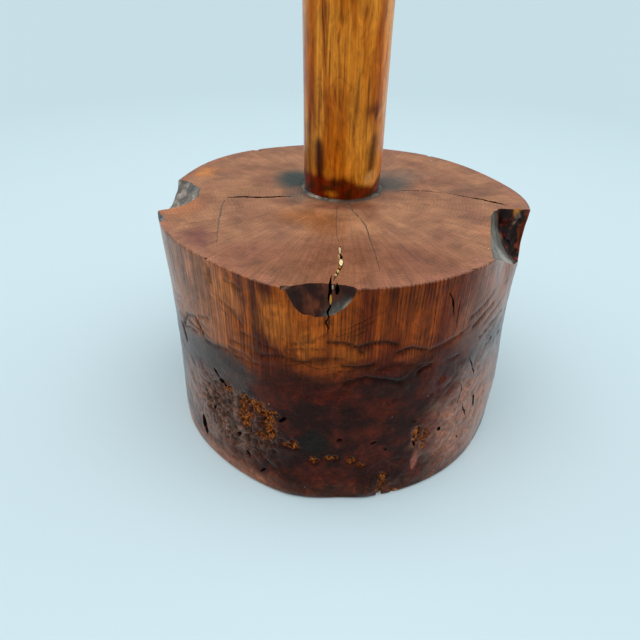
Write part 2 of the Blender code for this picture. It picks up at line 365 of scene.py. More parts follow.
def top_material():
    """Sawn end grain: rays from the pith, rings, and the fine marks of the saw."""
    material, tree, shader = start_material("log_top", 0.45, specular=0.2, coat=0.03)
    colour, _ = tone(tree)
    place = add_node(tree, "ShaderNodeTexCoord").outputs["Object"]
    pith = (0.0, 0.004, HEAD_HEIGHT * MM)
    arm = add_node(tree, "ShaderNodeVectorMath", {0: place, 1: pith}, operation="SUBTRACT").outputs["Vector"]
    flat = multiplied(tree, arm, (1.0, 1.0, 0.0))
    reach = add_node(tree, "ShaderNodeVectorMath", {0: flat}, operation="LENGTH").outputs["Value"]
    way = add_node(tree, "ShaderNodeVectorMath", {0: flat}, operation="NORMALIZE").outputs["Vector"]
    drift = add_node(tree, "ShaderNodeCombineXYZ", {"Z": maths(tree, "MULTIPLY", reach, 60.0)}).outputs["Vector"]
    ray_place = scaled_colour(tree, way, 90.0)
    ray_place = add_node(tree, "ShaderNodeVectorMath", {0: ray_place, 1: drift}, operation="ADD").outputs["Vector"]
    rays = grain(tree, ray_place, detail=3.0, roughness=0.7)
    wander = grain(tree, stretched(tree, (55.0, 55.0, 55.0)), detail=3.0)
    ring_place = maths(tree, "ADD", maths(tree, "MULTIPLY", reach, 4600.0), maths(tree, "MULTIPLY", wander, 22.0))
    rings = maths(tree, "SINE", ring_place)
    saw_place = add_node(tree, "ShaderNodeVectorMath", {0: place, 1: (-0.12, -0.3, 0.09)}, operation="DISTANCE")
    saw = maths(tree, "SINE", maths(tree, "ADD", maths(tree, "MULTIPLY", saw_place.outputs["Value"], 7800.0), wander))
    cloud = grain(tree, stretched(tree, (150.0, 150.0, 150.0)), detail=7.0, roughness=0.62, distortion=0.5)
    speckle = grain(tree, stretched(tree, (1500.0, 1500.0, 1500.0)), detail=2.0, roughness=0.6)
    shade = remap(tree, cloud, 0.3, 0.7, 0.7, 1.28)
    for layer, low, high, dark, light in (
        (rays, 0.36, 0.64, 0.83, 1.12),
        (rings, -1.0, 1.0, 0.95, 1.05),
        (saw, -1.0, 1.0, 0.96, 1.04),
        (speckle, 0.3, 0.7, 0.86, 1.14),
    ):
        shade = maths(tree, "MULTIPLY", shade, remap(tree, layer, low, high, dark, light))
    shaded = add_node(tree, "ShaderNodeVectorMath", {0: scaled_colour(tree, colour, shade), 1: dust(tree)}, operation="ADD")
    tree.links.new(shaded.outputs["Vector"], shader.inputs["Base Color"])
    tree.links.new(remap(tree, cloud, 0.3, 0.7, 0.36, 0.52), shader.inputs["Roughness"])
    marks = maths(tree, "ADD", maths(tree, "MULTIPLY", rings, 0.15), maths(tree, "MULTIPLY", saw, 0.15))
    bumped(tree, shader, maths(tree, "ADD", speckle, marks), 0.0002, 0.5)
    return material


def torn_material(name, roughness, specular=0.1, coat=0.0):
    """Bare, weathered or varnished wood inside a scallop or a pit."""
    material, tree, shader = start_material(name, roughness, specular, coat)
    colour, _ = tone(tree)
    fibre = grain(tree, stretched(tree, (800.0, 800.0, 160.0)), detail=5.0, roughness=0.65)
    tree.links.new(scaled_colour(tree, colour, remap(tree, fibre, 0.32, 0.68, 0.55, 1.45)), shader.inputs["Base Color"])
    bumped(tree, shader, fibre, 0.0005, 0.6)
    return material


def handle_material():
    """A shaved stick: long dark streaks in honey-coloured wood, under gloss varnish."""
    material, tree, shader = start_material("stick", 0.26, specular=0.08)
    glancing_gloss(tree, shader, 0.7)
    colour, _ = tone(tree)
    fibre = grain(tree, stretched(tree, (1700.0, 1700.0, 20.0)), detail=3.0, roughness=0.6)
    streak = grain(tree, stretched(tree, (430.0, 430.0, 34.0)), detail=6.0, roughness=0.68, distortion=1.1)
    patch = grain(tree, stretched(tree, (260.0, 260.0, 110.0)), detail=7.0, roughness=0.66, distortion=1.4)
    dark = ramp(
        tree,
        streak,
        (
            (0.33, np.array((0.4, 0.26, 0.3))),
            (0.43, np.array((0.88, 0.76, 0.66))),
            (0.55, np.array((1.1, 1.08, 1.0))),
            (0.7, np.array((1.28, 1.28, 1.3))),
        ),
    )
    shade = maths(tree, "MULTIPLY", remap(tree, fibre, 0.36, 0.62, 0.9, 1.08), remap(tree, patch, 0.35, 0.65, 0.74, 1.2))
    tree.links.new(scaled_colour(tree, multiplied(tree, colour, dark), shade), shader.inputs["Base Color"])
    bumped(tree, shader, maths(tree, "ADD", fibre, patch), 0.0004, 0.4)
    return material


def plain_wood_material(name, colour, roughness):
    """Bare sawn wood with upright fibres."""
    material, tree, shader = start_material(name, roughness)
    fibre = grain(tree, stretched(tree, (900.0, 900.0, 60.0)), detail=4.0)
    base = ramp(tree, fibre, ((0.3, colour * 0.6), (0.5, colour), (0.7, colour * 1.3)))
    tree.links.new(base, shader.inputs["Base Color"])
    bumped(tree, shader, fibre, 0.0003, 0.5)
    return material


# ---------------------------------------------------------------- the head's mesh

TOP_EDGE = 0.5
UNDER_EDGE = 0.9

# Lines pressed or torn across the side: (route, width, depth).
GOUGES = (
    (((-94.5, 70.8), (-90.0, 70.2), (-87.0, 68.6), (-85.6, 66.2)), 0.8, 0.9),
    (((-86.5, 68.6), (-83.0, 70.0), (-79.5, 70.2), (-75.8, 68.4)), 0.8, 0.8),
    (((-76.0, 65.4), (-72.1, 66.6), (-67.3, 64.4)), 0.7, 0.7),
    (((-67.3, 63.2), (-62.0, 64.5), (-55.0, 66.0)), 0.7, 0.4),
    (((-68.8, 55.2), (-66.9, 57.0), (-64.5, 57.4)), 0.6, 0.9),
    (((-95.0, 74.0), (-99.0, 71.0), (-104.0, 69.5)), 0.7, 0.4),
    (((-106.0, 66.5), (-100.0, 68.5), (-96.0, 68.0)), 0.6, 0.4),
    (((-113.0, 62.0), (-107.0, 64.0), (-101.0, 62.5), (-96.0, 64.0)), 0.8, 0.5),
    (((-91.0, 61.5), (-86.0, 60.6), (-82.0, 61.6)), 0.7, 0.7),
    (((-81.0, 59.0), (-76.0, 60.6), (-71.0, 59.2)), 0.8, 0.5),
    (((-90.0, 54.5), (-84.0, 56.5), (-78.0, 55.0), (-74.0, 52.5)), 0.9, 0.6),
    (((-52.0, 71.0), (-46.0, 73.0), (-41.0, 76.0)), 0.7, 0.5),
    (((-50.0, 66.0), (-44.0, 69.5), (-40.0, 70.5)), 0.8, 0.5),
    (((-130.0, 86.8), (-129.8, 82.0)), 0.7, 0.5),
    (((-150.0, 54.0), (-146.0, 60.5), (-140.5, 63.0), (-137.0, 58.0)), 0.7, 0.6),
    (((-127.0, 77.0), (-122.0, 75.0), (-119.0, 71.0)), 0.6, 0.3),
    (((-124.0, 85.4), (-119.0, 84.6)), 0.6, 0.4),
    (((-152.0, 53.0), (-150.0, 47.0)), 0.8, 0.7),
)

# Crumbly, rotted patches: (angle, height, half width, half height, how much).
CRUMBS = (
    (-117.5, 37.5, 7.5, 3.0, 1.0),
    (-121.5, 31.5, 3.4, 6.0, 1.0),
    (-111.6, 31.0, 2.8, 6.0, 0.9),
    (-114.5, 25.0, 4.0, 2.2, 0.8),
    (-129.0, 38.8, 2.6, 2.2, 0.8),
    (-105.2, 25.6, 3.4, 2.0, 0.8),
    (-97.8, 19.0, 1.7, 1.6, 0.9),
    (-94.0, 20.4, 1.8, 1.3, 0.7),
    (-91.5, 20.6, 1.4, 1.2, 0.6),
    (-86.6, 19.6, 1.8, 1.4, 0.8),
    (-84.0, 17.0, 1.5, 1.4, 0.7),
    (-66.0, 26.0, 2.0, 4.0, 0.8),
    (-63.0, 24.0, 1.8, 4.5, 0.8),
    (-76.5, 8.0, 1.6, 3.4, 0.8),
    (20.0, 34.0, 6.0, 5.0, 0.8),
    (32.0, 27.0, 3.0, 4.5, 0.7),
    (104.0, 30.0, 7.0, 4.0, 0.8),
    (160.0, 42.0, 4.0, 6.0, 0.7),
)

# Open pits: (angle, height, half width, half height, depth, turn in degrees).
PITS = (
    (-142.7, 11.0, 1.8, 4.4, 4.0, 12.0),
    (-130.0, 40.6, 1.9, 2.0, 4.0, 30.0),
    (-132.5, 43.6, 0.6, 2.2, 2.5, 35.0),
    (-136.0, 24.5, 0.7, 1.1, 1.6, 0.0),
    (-119.6, 24.3, 1.3, 0.6, 1.8, 20.0),
    (-124.6, 19.4, 0.8, 1.7, 2.0, -35.0),
    (-107.4, 36.6, 0.7, 2.4, 2.5, -38.0),
    (-120.6, 12.6, 0.6, 1.4, 1.8, 35.0),
    (-114.6, 8.4, 0.5, 1.6, 1.8, -40.0),
    (-90.6, 29.6, 0.9, 0.8, 1.8, 0.0),
    (-80.4, 27.4, 1.2, 0.5, 1.6, 25.0),
    (-76.4, 23.6, 0.5, 0.5, 1.3, 0.0),
    (-67.6, 33.8, 1.0, 0.6, 1.6, 0.0),
    (-57.4, 25.2, 0.8, 1.0, 1.8, 20.0),
    (-66.8, 22.8, 0.5, 1.8, 2.2, 20.0),
    (-40.4, 27.6, 0.7, 3.4, 2.0, 14.0),
    (-50.4, 34.0, 0.5, 0.8, 1.6, 0.0),
    (-47.6, 15.0, 0.5, 0.9, 1.6, 30.0),
    (24.0, 36.0, 2.0, 3.0, 3.0, 20.0),
    (41.0, 18.0, 1.4, 2.4, 2.5, -30.0),
    (70.0, 38.0, 1.0, 2.8, 2.5, 10.0),
    (98.0, 27.0, 2.2, 1.6, 3.0, 15.0),
    (121.0, 15.0, 1.2, 2.6, 2.5, -20.0),
    (158.0, 44.0, 1.6, 2.4, 3.0, 25.0),
    (171.0, 22.0, 1.0, 1.8, 2.0, 0.0),
)

# Chips of pale wood off the rims: as the pits.
CHIPS = (
    (-77.3, 3.0, 1.6, 4.2, 2.6, 12.0),
    (-72.6, 1.2, 2.0, 1.3, 1.8, 0.0),
    (-55.2, 90.3, 1.2, 0.7, 0.9, 0.0),
    (-48.6, 90.2, 0.8, 0.7, 0.8, 0.0),
    (-104.5, 89.9, 2.2, 0.8, 1.2, 8.0),
    (-131.0, 90.2, 0.9, 0.7, 0.9, 0.0),
    (-163.5, 91.0, 4.2, 2.0, 2.4, 0.0),
    (-38.0, 90.0, 0.9, 0.9, 0.9, 0.0),
    (52.0, 90.0, 1.6, 0.9, 1.2, 0.0),
    (86.0, 90.2, 1.2, 0.8, 1.0, 0.0),
    (124.0, 90.0, 1.8, 0.9, 1.3, 0.0),
    (60.0, 1.0, 2.2, 1.6, 1.8, 0.0),
    (150.0, 1.0, 2.6, 1.8, 2.0, 0.0),
)

# Broad swellings of the side: (angle, height, half width, half height, rise).
SWELLINGS = (
    (-21.0, 25.0, 16.0, 15.0, 1.5),
    (-102.0, 2.0, 11.0, 7.0, 0.8),
    (-30.0, 0.0, 9.0, 6.0, -0.9),
    (-81.5, 0.0, 4.5, 7.0, 1.3),
    (-91.0, 0.0, 3.5, 6.0, -0.4),
    (-33.0, 85.0, 11.0, 12.0, -2.2),
    (60.0, 30.0, 16.0, 14.0, 0.9),
    (140.0, 12.0, 18.0, 12.0, 0.8),
)

# Soft stains on the side, and a painted grey sheen on the left flank: (angle, height, half width, half height, colour,
# strength).
SIDE_STAINS = (
    # A painted reflection, not a stain: the grey sheen on the left flank.
    (-136.0, 50.0, 24.0, 9.0, srgb(88, 74, 68), 0.8),
    (-128.0, 53.0, 11.0, 6.0, srgb(62, 46, 40), 0.6),
    (-97.5, 28.0, 6.5, 6.0, srgb(28, 30, 24), 0.9),
    (-78.0, 43.0, 8.0, 5.0, srgb(100, 34, 13), 0.55),
    (-93.0, 49.0, 11.0, 3.5, srgb(96, 28, 10), 0.6),
    (-106.0, 51.0, 9.0, 5.0, srgb(80, 28, 12), 0.6),
    (-66.0, 14.0, 1.6, 5.5, srgb(184, 110, 90), 0.8),
    (-61.0, 30.0, 5.0, 6.0, srgb(118, 50, 24), 0.5),
    (-109.0, 76.0, 7.0, 10.0, srgb(186, 104, 36), 0.6),
    (-101.0, 70.0, 3.5, 6.0, srgb(180, 98, 30), 0.6),
    (-88.0, 66.0, 7.0, 2.6, srgb(176, 92, 26), 0.55),
    (-92.0, 61.0, 6.0, 2.0, srgb(178, 90, 26), 0.55),
    (-74.0, 63.0, 4.0, 1.6, srgb(166, 78, 24), 0.5),
    (-54.0, 76.0, 3.0, 8.0, srgb(158, 96, 62), 0.4),
    (-124.0, 80.0, 8.0, 8.0, srgb(176, 106, 52), 0.5),
    (-98.0, 60.0, 8.0, 2.4, srgb(160, 72, 20), 0.5),
    (-73.0, 50.0, 10.0, 4.0, srgb(62, 36, 28), 0.5),
)

# Dark upright streaks in the sawn part: (angle, low end, high end, width, strength).
SIDE_STREAKS = (
    (-114.6, 58.0, 89.0, 0.6, 0.85),
    (-113.7, 60.0, 89.0, 0.3, 0.8),
    (-111.0, 62.0, 89.0, 0.55, 0.85),
    (-109.4, 66.0, 84.0, 0.3, 0.4),
    (-78.6, 78.0, 89.5, 1.8, 0.55),
    (-74.0, 76.0, 89.5, 0.8, 0.45),
    (-70.0, 72.0, 88.0, 0.5, 0.35),
    (-92.0, 74.0, 88.0, 0.5, 0.3),
    (-84.0, 74.0, 89.0, 0.5, 0.35),
    (-152.0, 70.0, 89.0, 1.2, 0.4),
    (-143.0, 72.0, 89.0, 1.4, 0.4),
    (-137.0, 74.0, 89.0, 0.8, 0.35),
)


def burl_share(points, degrees, heights):
    """0 on the sawn upper part of the side and 1 on the burl below, with a wavy border."""
    wave = 4.0 * noise_at(points, 22.0, 3, (1.0, 1.0, 0.6)) + 2.0 * noise_at(points, 8.0, 4)
    border = 57.0 + 2.0 * np.sin(np.radians(degrees * 2.0 + 200.0)) + wave
    border += 5.0 * np.exp(-((angle_between(degrees, -92.0) / 26.0) ** 2))
    border += 4.0 * np.exp(-((angle_between(degrees, -48.0) / 20.0) ** 2))
    border -= 4.0 * np.exp(-((angle_between(degrees, -112.0) / 11.0) ** 2))
    return 1.0 - smooth(border - 8.0, border + 8.0, heights)


def crumb_share(points, degrees, heights):
    share = np.zeros(len(points))
    ragged = 0.5 * noise_at(points, 3.4, 11) + 0.4 * noise_at(points, 1.5, 14)
    for angle, height, half_width, half_height, strength in CRUMBS:
        reach = side_reach(degrees, heights, (angle, height), (half_width, half_height))
        share = np.maximum(share, strength * (1.0 - smooth(0.8, 1.2, reach + ragged)))
    return share


def scattered_arcs():
    """Short knife and scrape marks all round the log where its bark was shaved, rising to the right."""
    rng = random.Random(21)
    arcs = []
    for _ in range(120):
        angle = rng.uniform(-180.0, 180.0)
        height = rng.gauss(61.0, 6.5)
        length = rng.uniform(4.0, 12.0)
        rise = rng.uniform(-0.12, 0.32) * length
        bow = rng.uniform(-0.6, 1.2)
        reach = math.degrees(length / HEAD_RADIUS)
        route = ((angle, height), (angle + reach / 2, height + rise / 2 + bow), (angle + reach, height + rise))
        arcs.append((route, rng.uniform(0.35, 0.6), rng.uniform(0.15, 0.5)))
    return arcs


def gouge_share(degrees, heights):
    """(how dark, how deep) the gouges make each side point."""
    dark = np.zeros(len(degrees))
    deep = np.zeros(len(degrees))
    for route, width, depth in GOUGES + tuple(scattered_arcs()):
        print_of = np.exp(-(side_line_distance(degrees, heights, route) / width) ** 2)
        dark = np.maximum(dark, print_of * min(1.0, depth / 0.7))
        deep = np.maximum(deep, print_of * depth)
    return dark, deep


def side_shape(points, degrees, heights, burl, crumbs, deep):
    """How far each side point stands out from the plain log, and its share of that from the burl's lumps."""
    wobble = 0.35 * noise_at(points, 24.0, 1) + 0.12 * noise_at(points, 7.0, 2)
    for angle, height, half_width, half_height, rise in SWELLINGS:
        reach = side_reach(degrees, heights, (angle, height), (half_width, half_height))
        wobble += rise * np.exp(-(reach**2))
    lumps = np.abs(noise_at(points, 8.5, 5, (1.0, 1.0, 0.75))) + 0.5 * np.abs(noise_at(points, 4.0, 6))
    wild = 0.3 + 0.9 * smooth(-0.25, 0.35, noise_at(points, 26.0, 7))
    left_front = 1.0 - smooth(0.7, 1.4, side_reach(degrees, heights, (-125.0, 27.0), (19.0, 15.0)))
    right_front = 1.0 - smooth(0.7, 1.4, side_reach(degrees, heights, (-50.0, 28.0), (20.0, 24.0)))
    centre_front = 1.0 - smooth(0.6, 1.3, side_reach(degrees, heights, (-90.0, 32.0), (24.0, 22.0)))
    wild = np.maximum(0.55 * wild * (1.0 - 0.5 * centre_front), np.maximum(1.2 * left_front, 0.75 * right_front))
    grey_band = smooth(38.0, 46.0, heights) * (1.0 - smooth(28.0, 42.0, np.abs(angle_between(degrees, -143.0))))
    far_left = 1.0 - smooth(8.0, 18.0, np.abs(angle_between(degrees, -165.0)))
    wild = wild * (1.0 - 0.8 * np.maximum(grey_band, 0.7 * far_left))
    maze = 0.16 - np.abs(noise_at(points, 2.6, 8)) - 0.5 * np.abs(noise_at(points, 1.5, 9))
    relief = burl * wild * ((1.0 - 0.8 * left_front) * lumps - 0.25 + maze * (0.4 + 1.7 * left_front))
    crumbled = crumbs * (1.0 * noise_at(points, 1.7, 12) - 1.1)
    edge = (0.3 + 0.7 * smooth(0.0, 4.0, heights)) * smooth(0.0, 1.5, HEAD_HEIGHT - heights)
    scored = deep * smooth(0.0, 1.0, HEAD_HEIGHT - heights) * (1.0 - 0.5 * smooth(66.0, 76.0, heights))
    return edge * (wobble + relief + crumbled) - scored, relief


def side_paint(points, degrees, heights, burl, crumbs, dark, relief):
    """The colour of each side point, and its share of clean upright grain."""
    streaks = noise_at(points, 2.6, 20, (1.0, 1.0, 14.0))
    broad = noise_at(points, 11.0, 21, (1.0, 1.0, 3.0))
    upper = mix(srgb(164, 80, 20), srgb(92, 34, 8), smooth(-0.45, 0.45, broad + 0.7 * streaks))
    right_turn = smooth(-94.0, -82.0, degrees) * (1.0 - smooth(-60.0, -46.0, degrees))
    upper = mix(upper, srgb(112, 42, 9), 0.6 * right_turn)
    left_turn = 1.0 - smooth(8.0, 24.0, np.abs(angle_between(degrees, -142.0)))
    upper = mix(upper, srgb(166, 112, 78), 0.6 * left_turn)
    # Painted sheen: the upper side is painted paler and greyer on the right flank.
    far_right_sheen = 1.0 - smooth(14.0, 30.0, np.abs(angle_between(degrees, -30.0)))
    upper = mix(upper, srgb(150, 98, 74), 0.75 * far_right_sheen)
    for angle, low, high, width, strength in SIDE_STREAKS:
        across = np.radians(angle_between(degrees, angle)) * HEAD_RADIUS
        length = smooth(low - 4.0, low + 6.0, heights) * (1.0 - smooth(high, high + 3.0, heights))
        upper = mix(upper, srgb(54, 18, 7), strength * length * np.exp(-((across / width) ** 2)))
    cloudy = noise_at(points, 9.0, 22) + 0.5 * noise_at(points, 3.5, 23)
    lower = mix(srgb(48, 21, 15), srgb(86, 34, 20), smooth(-0.3, 0.6, cloudy))
    lower = mix(lower, srgb(104, 40, 18), 0.4 * smooth(0.15, 0.6, noise_at(points, 4.0, 24)))
    brownish = 1.0 - smooth(0.6, 1.3, side_reach(degrees, heights, (-137.0, 25.0), (27.0, 17.0)) + 0.3 * cloudy)
    lower = mix(lower, srgb(148, 112, 96), 0.85 * brownish)
    # The pale mauve-brown patch low on the right is partly the burl's colour and partly painted sheen of the right
    # flank.
    right_brown_and_sheen = 1.0 - smooth(0.6, 1.4, side_reach(degrees, heights, (-40.0, 24.0), (24.0, 24.0)) + 0.3 * cloudy)
    lower = mix(lower, srgb(184, 130, 106), 0.82 * right_brown_and_sheen)
    # Painted sheen: a grey patch high on the right flank.
    right_grey_sheen = 1.0 - smooth(0.4, 1.3, side_reach(degrees, heights, (-36.0, 56.0), (20.0, 16.0)) + 0.3 * cloudy)
    lower = mix(lower, srgb(118, 104, 98), 0.75 * right_grey_sheen)
    # Painted light: the lowest band is painted paler, most on the left, as light thrown up from the floor.
    foot = 1.0 - smooth(2.0, 11.0, heights + 3.0 * noise_at(points, 7.0, 25))
    lower = mix(lower, srgb(176, 116, 86), (0.12 + 0.75 * smooth(-100.0, -122.0, degrees)) * foot)
    paint = mix(upper, lower, burl)
    for angle, height, half_width, half_height, colour, strength in SIDE_STAINS:
        reach = side_reach(degrees, heights, (angle, height), (half_width, half_height))
        soft = 1.0 - smooth(0.45, 1.15, reach + 0.3 * cloudy)
        paint = mix(paint, colour, strength * soft)
    paint = mix(paint, srgb(34, 17, 12), 0.88 * dark)
    # Painted shade and highlight: the burl is painted darker in its hollows, with some dirt there, and lighter on its
    # lumps.
    hollow_shade = smooth(0.0, 0.55, -relief)
    paint = paint * (1.0 + 0.2 * smooth(0.0, 0.6, relief) - 0.5 * hollow_shade)[:, None]
    # A pale line along the upper rim: partly wear and partly a painted highlight on the rounded edge.
    edge = smooth(HEAD_HEIGHT - 0.45, HEAD_HEIGHT - 0.1, heights)
    paint = mix(paint, srgb(178, 128, 104), 0.55 * edge)
    return paint, (1.0 - burl) * (1.0 - crumbs)


# Soft stains on the upper face: (x, y, half width, half depth, colour, strength).
TOP_STAINS = (
    (-18.5, 19.0, 11.5, 13.0, srgb(54, 74, 72), 0.95),
    (-17.5, 2.0, 6.0, 9.0, srgb(96, 92, 86), 0.55),
    (18.5, 16.0, 11.0, 12.0, srgb(78, 84, 80), 0.85),
    (24.0, 26.0, 12.0, 10.0, srgb(120, 104, 92), 0.55),
    (-1.0, -7.2, 17.0, 4.2, srgb(104, 54, 36), 0.7),
    (-22.0, -4.0, 6.0, 4.0, srgb(120, 70, 52), 0.5),
    (-14.0, -18.0, 15.0, 9.0, srgb(158, 96, 48), 0.7),
    (-6.0, -26.0, 8.0, 9.0, srgb(150, 86, 42), 0.5),
    (-49.0, -38.0, 6.5, 12.0, srgb(118, 70, 66), 0.85),
    (-33.0, -46.0, 14.0, 9.0, srgb(134, 84, 72), 0.55),
    (-58.0, -8.0, 9.0, 14.0, srgb(186, 116, 72), 0.6),
    (-58.0, 27.0, 9.0, 8.0, srgb(196, 126, 66), 0.85),
    (20.0, -46.0, 14.0, 8.0, srgb(136, 90, 76), 0.45),
    (48.0, 10.0, 10.0, 8.0, srgb(128, 92, 74), 0.4),
    (50.0, -28.0, 6.0, 12.0, srgb(178, 118, 82), 0.45),
    (0.0, 44.0, 30.0, 14.0, srgb(176, 128, 98), 0.35),
    (2.0, -50.0, 46.0, 20.0, srgb(132, 82, 58), 0.8),
    (-63.0, -20.0, 1.8, 2.4, srgb(104, 104, 104), 0.9),
    (-50.0, 24.0, 2.4, 3.4, srgb(120, 92, 80), 0.7),
)


def top_paint(points):
    x, y = points[:, 0], points[:, 1]
    cloudy = noise_at(points, 13.0, 30) + 0.5 * noise_at(points, 5.0, 31)
    paint = mix(srgb(172, 122, 88), srgb(148, 101, 76), smooth(-0.5, 0.6, cloudy))
    for sx, sy, half_width, half_depth, colour, strength in TOP_STAINS:
        reach = np.hypot((x - sx) / half_width, (y - sy) / half_depth)
        paint = mix(paint, colour, strength * (1.0 - smooth(0.35, 1.15, reach + 0.25 * cloudy)))
    from_axis = np.hypot(x - AXIS_X, y - AXIS_Y)
    paint = mix(paint, srgb(70, 64, 54), 0.8 * (1.0 - smooth(15.0, 17.8, from_axis + 0.8 * cloudy)))
    return paint


def under_paint(points):
    cloudy = noise_at(points, 12.0, 40) + 0.5 * noise_at(points, 4.0, 41)
    paint = mix(srgb(150, 104, 78), srgb(112, 76, 58), smooth(-0.4, 0.5, cloudy))
    grime = smooth(44.0, 66.0, np.hypot(points[:, 0], points[:, 1]) + 4.0 * cloudy)
    return mix(paint, srgb(78, 48, 36), 0.6 * grime)


def head_rows():
    """The section that is carried round the log: rings of (kind, height, inset or share)."""
    side_low, side_high = UNDER_EDGE, HEAD_HEIGHT - TOP_EDGE
    rows = [("side", 0.0, UNDER_EDGE), ("side", 0.25, 0.4)]
    rows += [("side", height, 0.0) for height in np.linspace(side_low, side_high, SIDE_ROWS)]
    rows += [("side", HEAD_HEIGHT - 0.12, 0.16), ("side", HEAD_HEIGHT, TOP_EDGE)]
    rows += [("top", HEAD_HEIGHT, share) for share in np.linspace(0.0, 1.0, FACE_ROWS + 1)[1:] ** 0.8]
    rows += [("bore", height, 0.0) for height in np.linspace(HEAD_HEIGHT - 1.3, 0.0, 6)]
    rows += [("under", 0.0, share) for share in np.linspace(1.0, 0.0, UNDER_ROWS + 1)[1:-1]]
    return rows


def head_points(rows, degrees):
    angles = np.radians(degrees)
    round_way = np.stack([np.cos(angles), np.sin(angles)], -1)
    axis = np.array((AXIS_X, AXIS_Y))
    points = np.zeros((len(rows), len(degrees), 3))
    for row, (kind, height, value) in enumerate(rows):
        points[row, :, 2] = height
        if kind == "side":
            points[row, :, :2] = round_way * (log_radius(degrees, height) - value)[:, None]
        elif kind == "bore":
            points[row, :, :2] = axis + round_way * BORE_RADIUS
        else:
            inset = TOP_EDGE if kind == "top" else UNDER_EDGE
            mouth = BORE_MOUTH if kind == "top" else BORE_RADIUS
            outer = round_way * (log_radius(degrees, height) - inset)[:, None]
            inner = axis + round_way * mouth
            points[row, :, :2] = outer * (1.0 - value) + inner * value
    return points


def wrapped_faces(rows, columns, closed):
    """Quads over a grid that wraps round its columns and, if closed, its rows too."""
    last = rows if closed else rows - 1
    row, column = np.meshgrid(np.arange(last), np.arange(columns), indexing="ij")
    next_row, next_column = (row + 1) % rows, (column + 1) % columns
    corners = [row * columns + column, row * columns + next_column]
    corners += [next_row * columns + next_column, next_row * columns + column]
    return np.stack(corners, -1).reshape(-1, 4)


def make_mesh(name, points, faces, colours, clean, rough):
    """A mesh from points in millimetres, with its painted tone and roughness at each point."""
    mesh = bpy.data.meshes.new(name)
    mesh.from_pydata((points * MM).tolist(), [], faces.tolist())
    paint_mesh(mesh, colours, clean, rough)
    mesh.shade_smooth()
    return mesh


def paint_mesh(mesh, colours, clean, rough):
    count = len(mesh.vertices)
    values = np.ones((count, 4), np.float32)
    values[:, :3] = colours
    values[:, 3] = clean
    mesh.attributes.new("tone", "FLOAT_COLOR", "POINT").data.foreach_set("color", values.ravel())
    roughness = np.ones(count, np.float32) * rough
    mesh.attributes.new("rough", "FLOAT", "POINT").data.foreach_set("value", roughness)


def attribute_values(mesh, name, field, width):
    values = np.empty(len(mesh.attributes[name].data) * width, np.float32)
    mesh.attributes[name].data.foreach_get(field, values)
    return values.reshape(-1, width)


def corner_groups(mesh):
    """Each face corner's face and group, and each group's (vertex, material)."""
    vertex = np.empty(len(mesh.loops), np.int64)
    mesh.loops.foreach_get("vertex_index", vertex)
    sizes = np.empty(len(mesh.polygons), np.int64)
    mesh.polygons.foreach_get("loop_total", sizes)
    material = np.empty(len(mesh.polygons), np.int64)
    mesh.polygons.foreach_get("material_index", material)
    face = np.repeat(np.arange(len(sizes)), sizes)
    kinds = len(mesh.materials)
    keys, group = np.unique(vertex * kinds + material[face], return_inverse=True)
    return face, group, keys // kinds, keys % kinds


def settle_paint(mesh, painters):
    """Moves the paint from points to face corners, so that a cut's edge is crisp.

    A material in painters is painted by its function of the point. A Boolean leaves the points
    along its edges white: on the other materials each of them takes the mean of what is beside it.
    """
    paint = np.hstack([attribute_values(mesh, "tone", "color", 4), attribute_values(mesh, "rough", "value", 1)])
    places = np.empty(len(mesh.vertices) * 3, np.float32)
    mesh.vertices.foreach_get("co", places)
    places = places.reshape(-1, 3).astype(float) / MM
    face, group, vertex, material = corner_groups(mesh)
    faces = len(mesh.polygons)
    values = paint[vertex].astype(float)
    known = values[:, :3].min(1) < 0.999
    for index, kind in enumerate(mesh.materials):
        if kind.name in painters:
            chosen = material == index
            values[chosen, :3] = painters[kind.name](places[vertex[chosen]])
            values[chosen, 3:] = 0.0
            known |= chosen
    while not known.all():
        given = known[group]
        face_count = np.bincount(face[given], minlength=faces)
        wanting = ~given & (face_count[face] > 0)
        if not wanting.any():
            break
        counts = np.bincount(group[wanting], minlength=len(vertex))
        reached = counts > 0
        for channel in range(values.shape[1]):
            totals = np.bincount(face[given], values[group[given], channel], faces)
            means = totals / np.maximum(face_count, 1)
            summed = np.bincount(group[wanting], means[face[wanting]], len(vertex))
            values[reached, channel] = summed[reached] / counts[reached]
        known |= reached
    mesh.attributes.remove(mesh.attributes["tone"])
    mesh.attributes.remove(mesh.attributes["rough"])
    corner = values[group].astype(np.float32)
    mesh.attributes.new("tone", "FLOAT_COLOR", "CORNER").data.foreach_set("color", corner[:, :4].ravel())
    mesh.attributes.new("rough", "FLOAT", "CORNER").data.foreach_set("value", corner[:, 4].copy())


def add_object(name, mesh):
    obj = bpy.data.objects.new(name, mesh)
    bpy.context.scene.collection.objects.link(obj)
    return obj


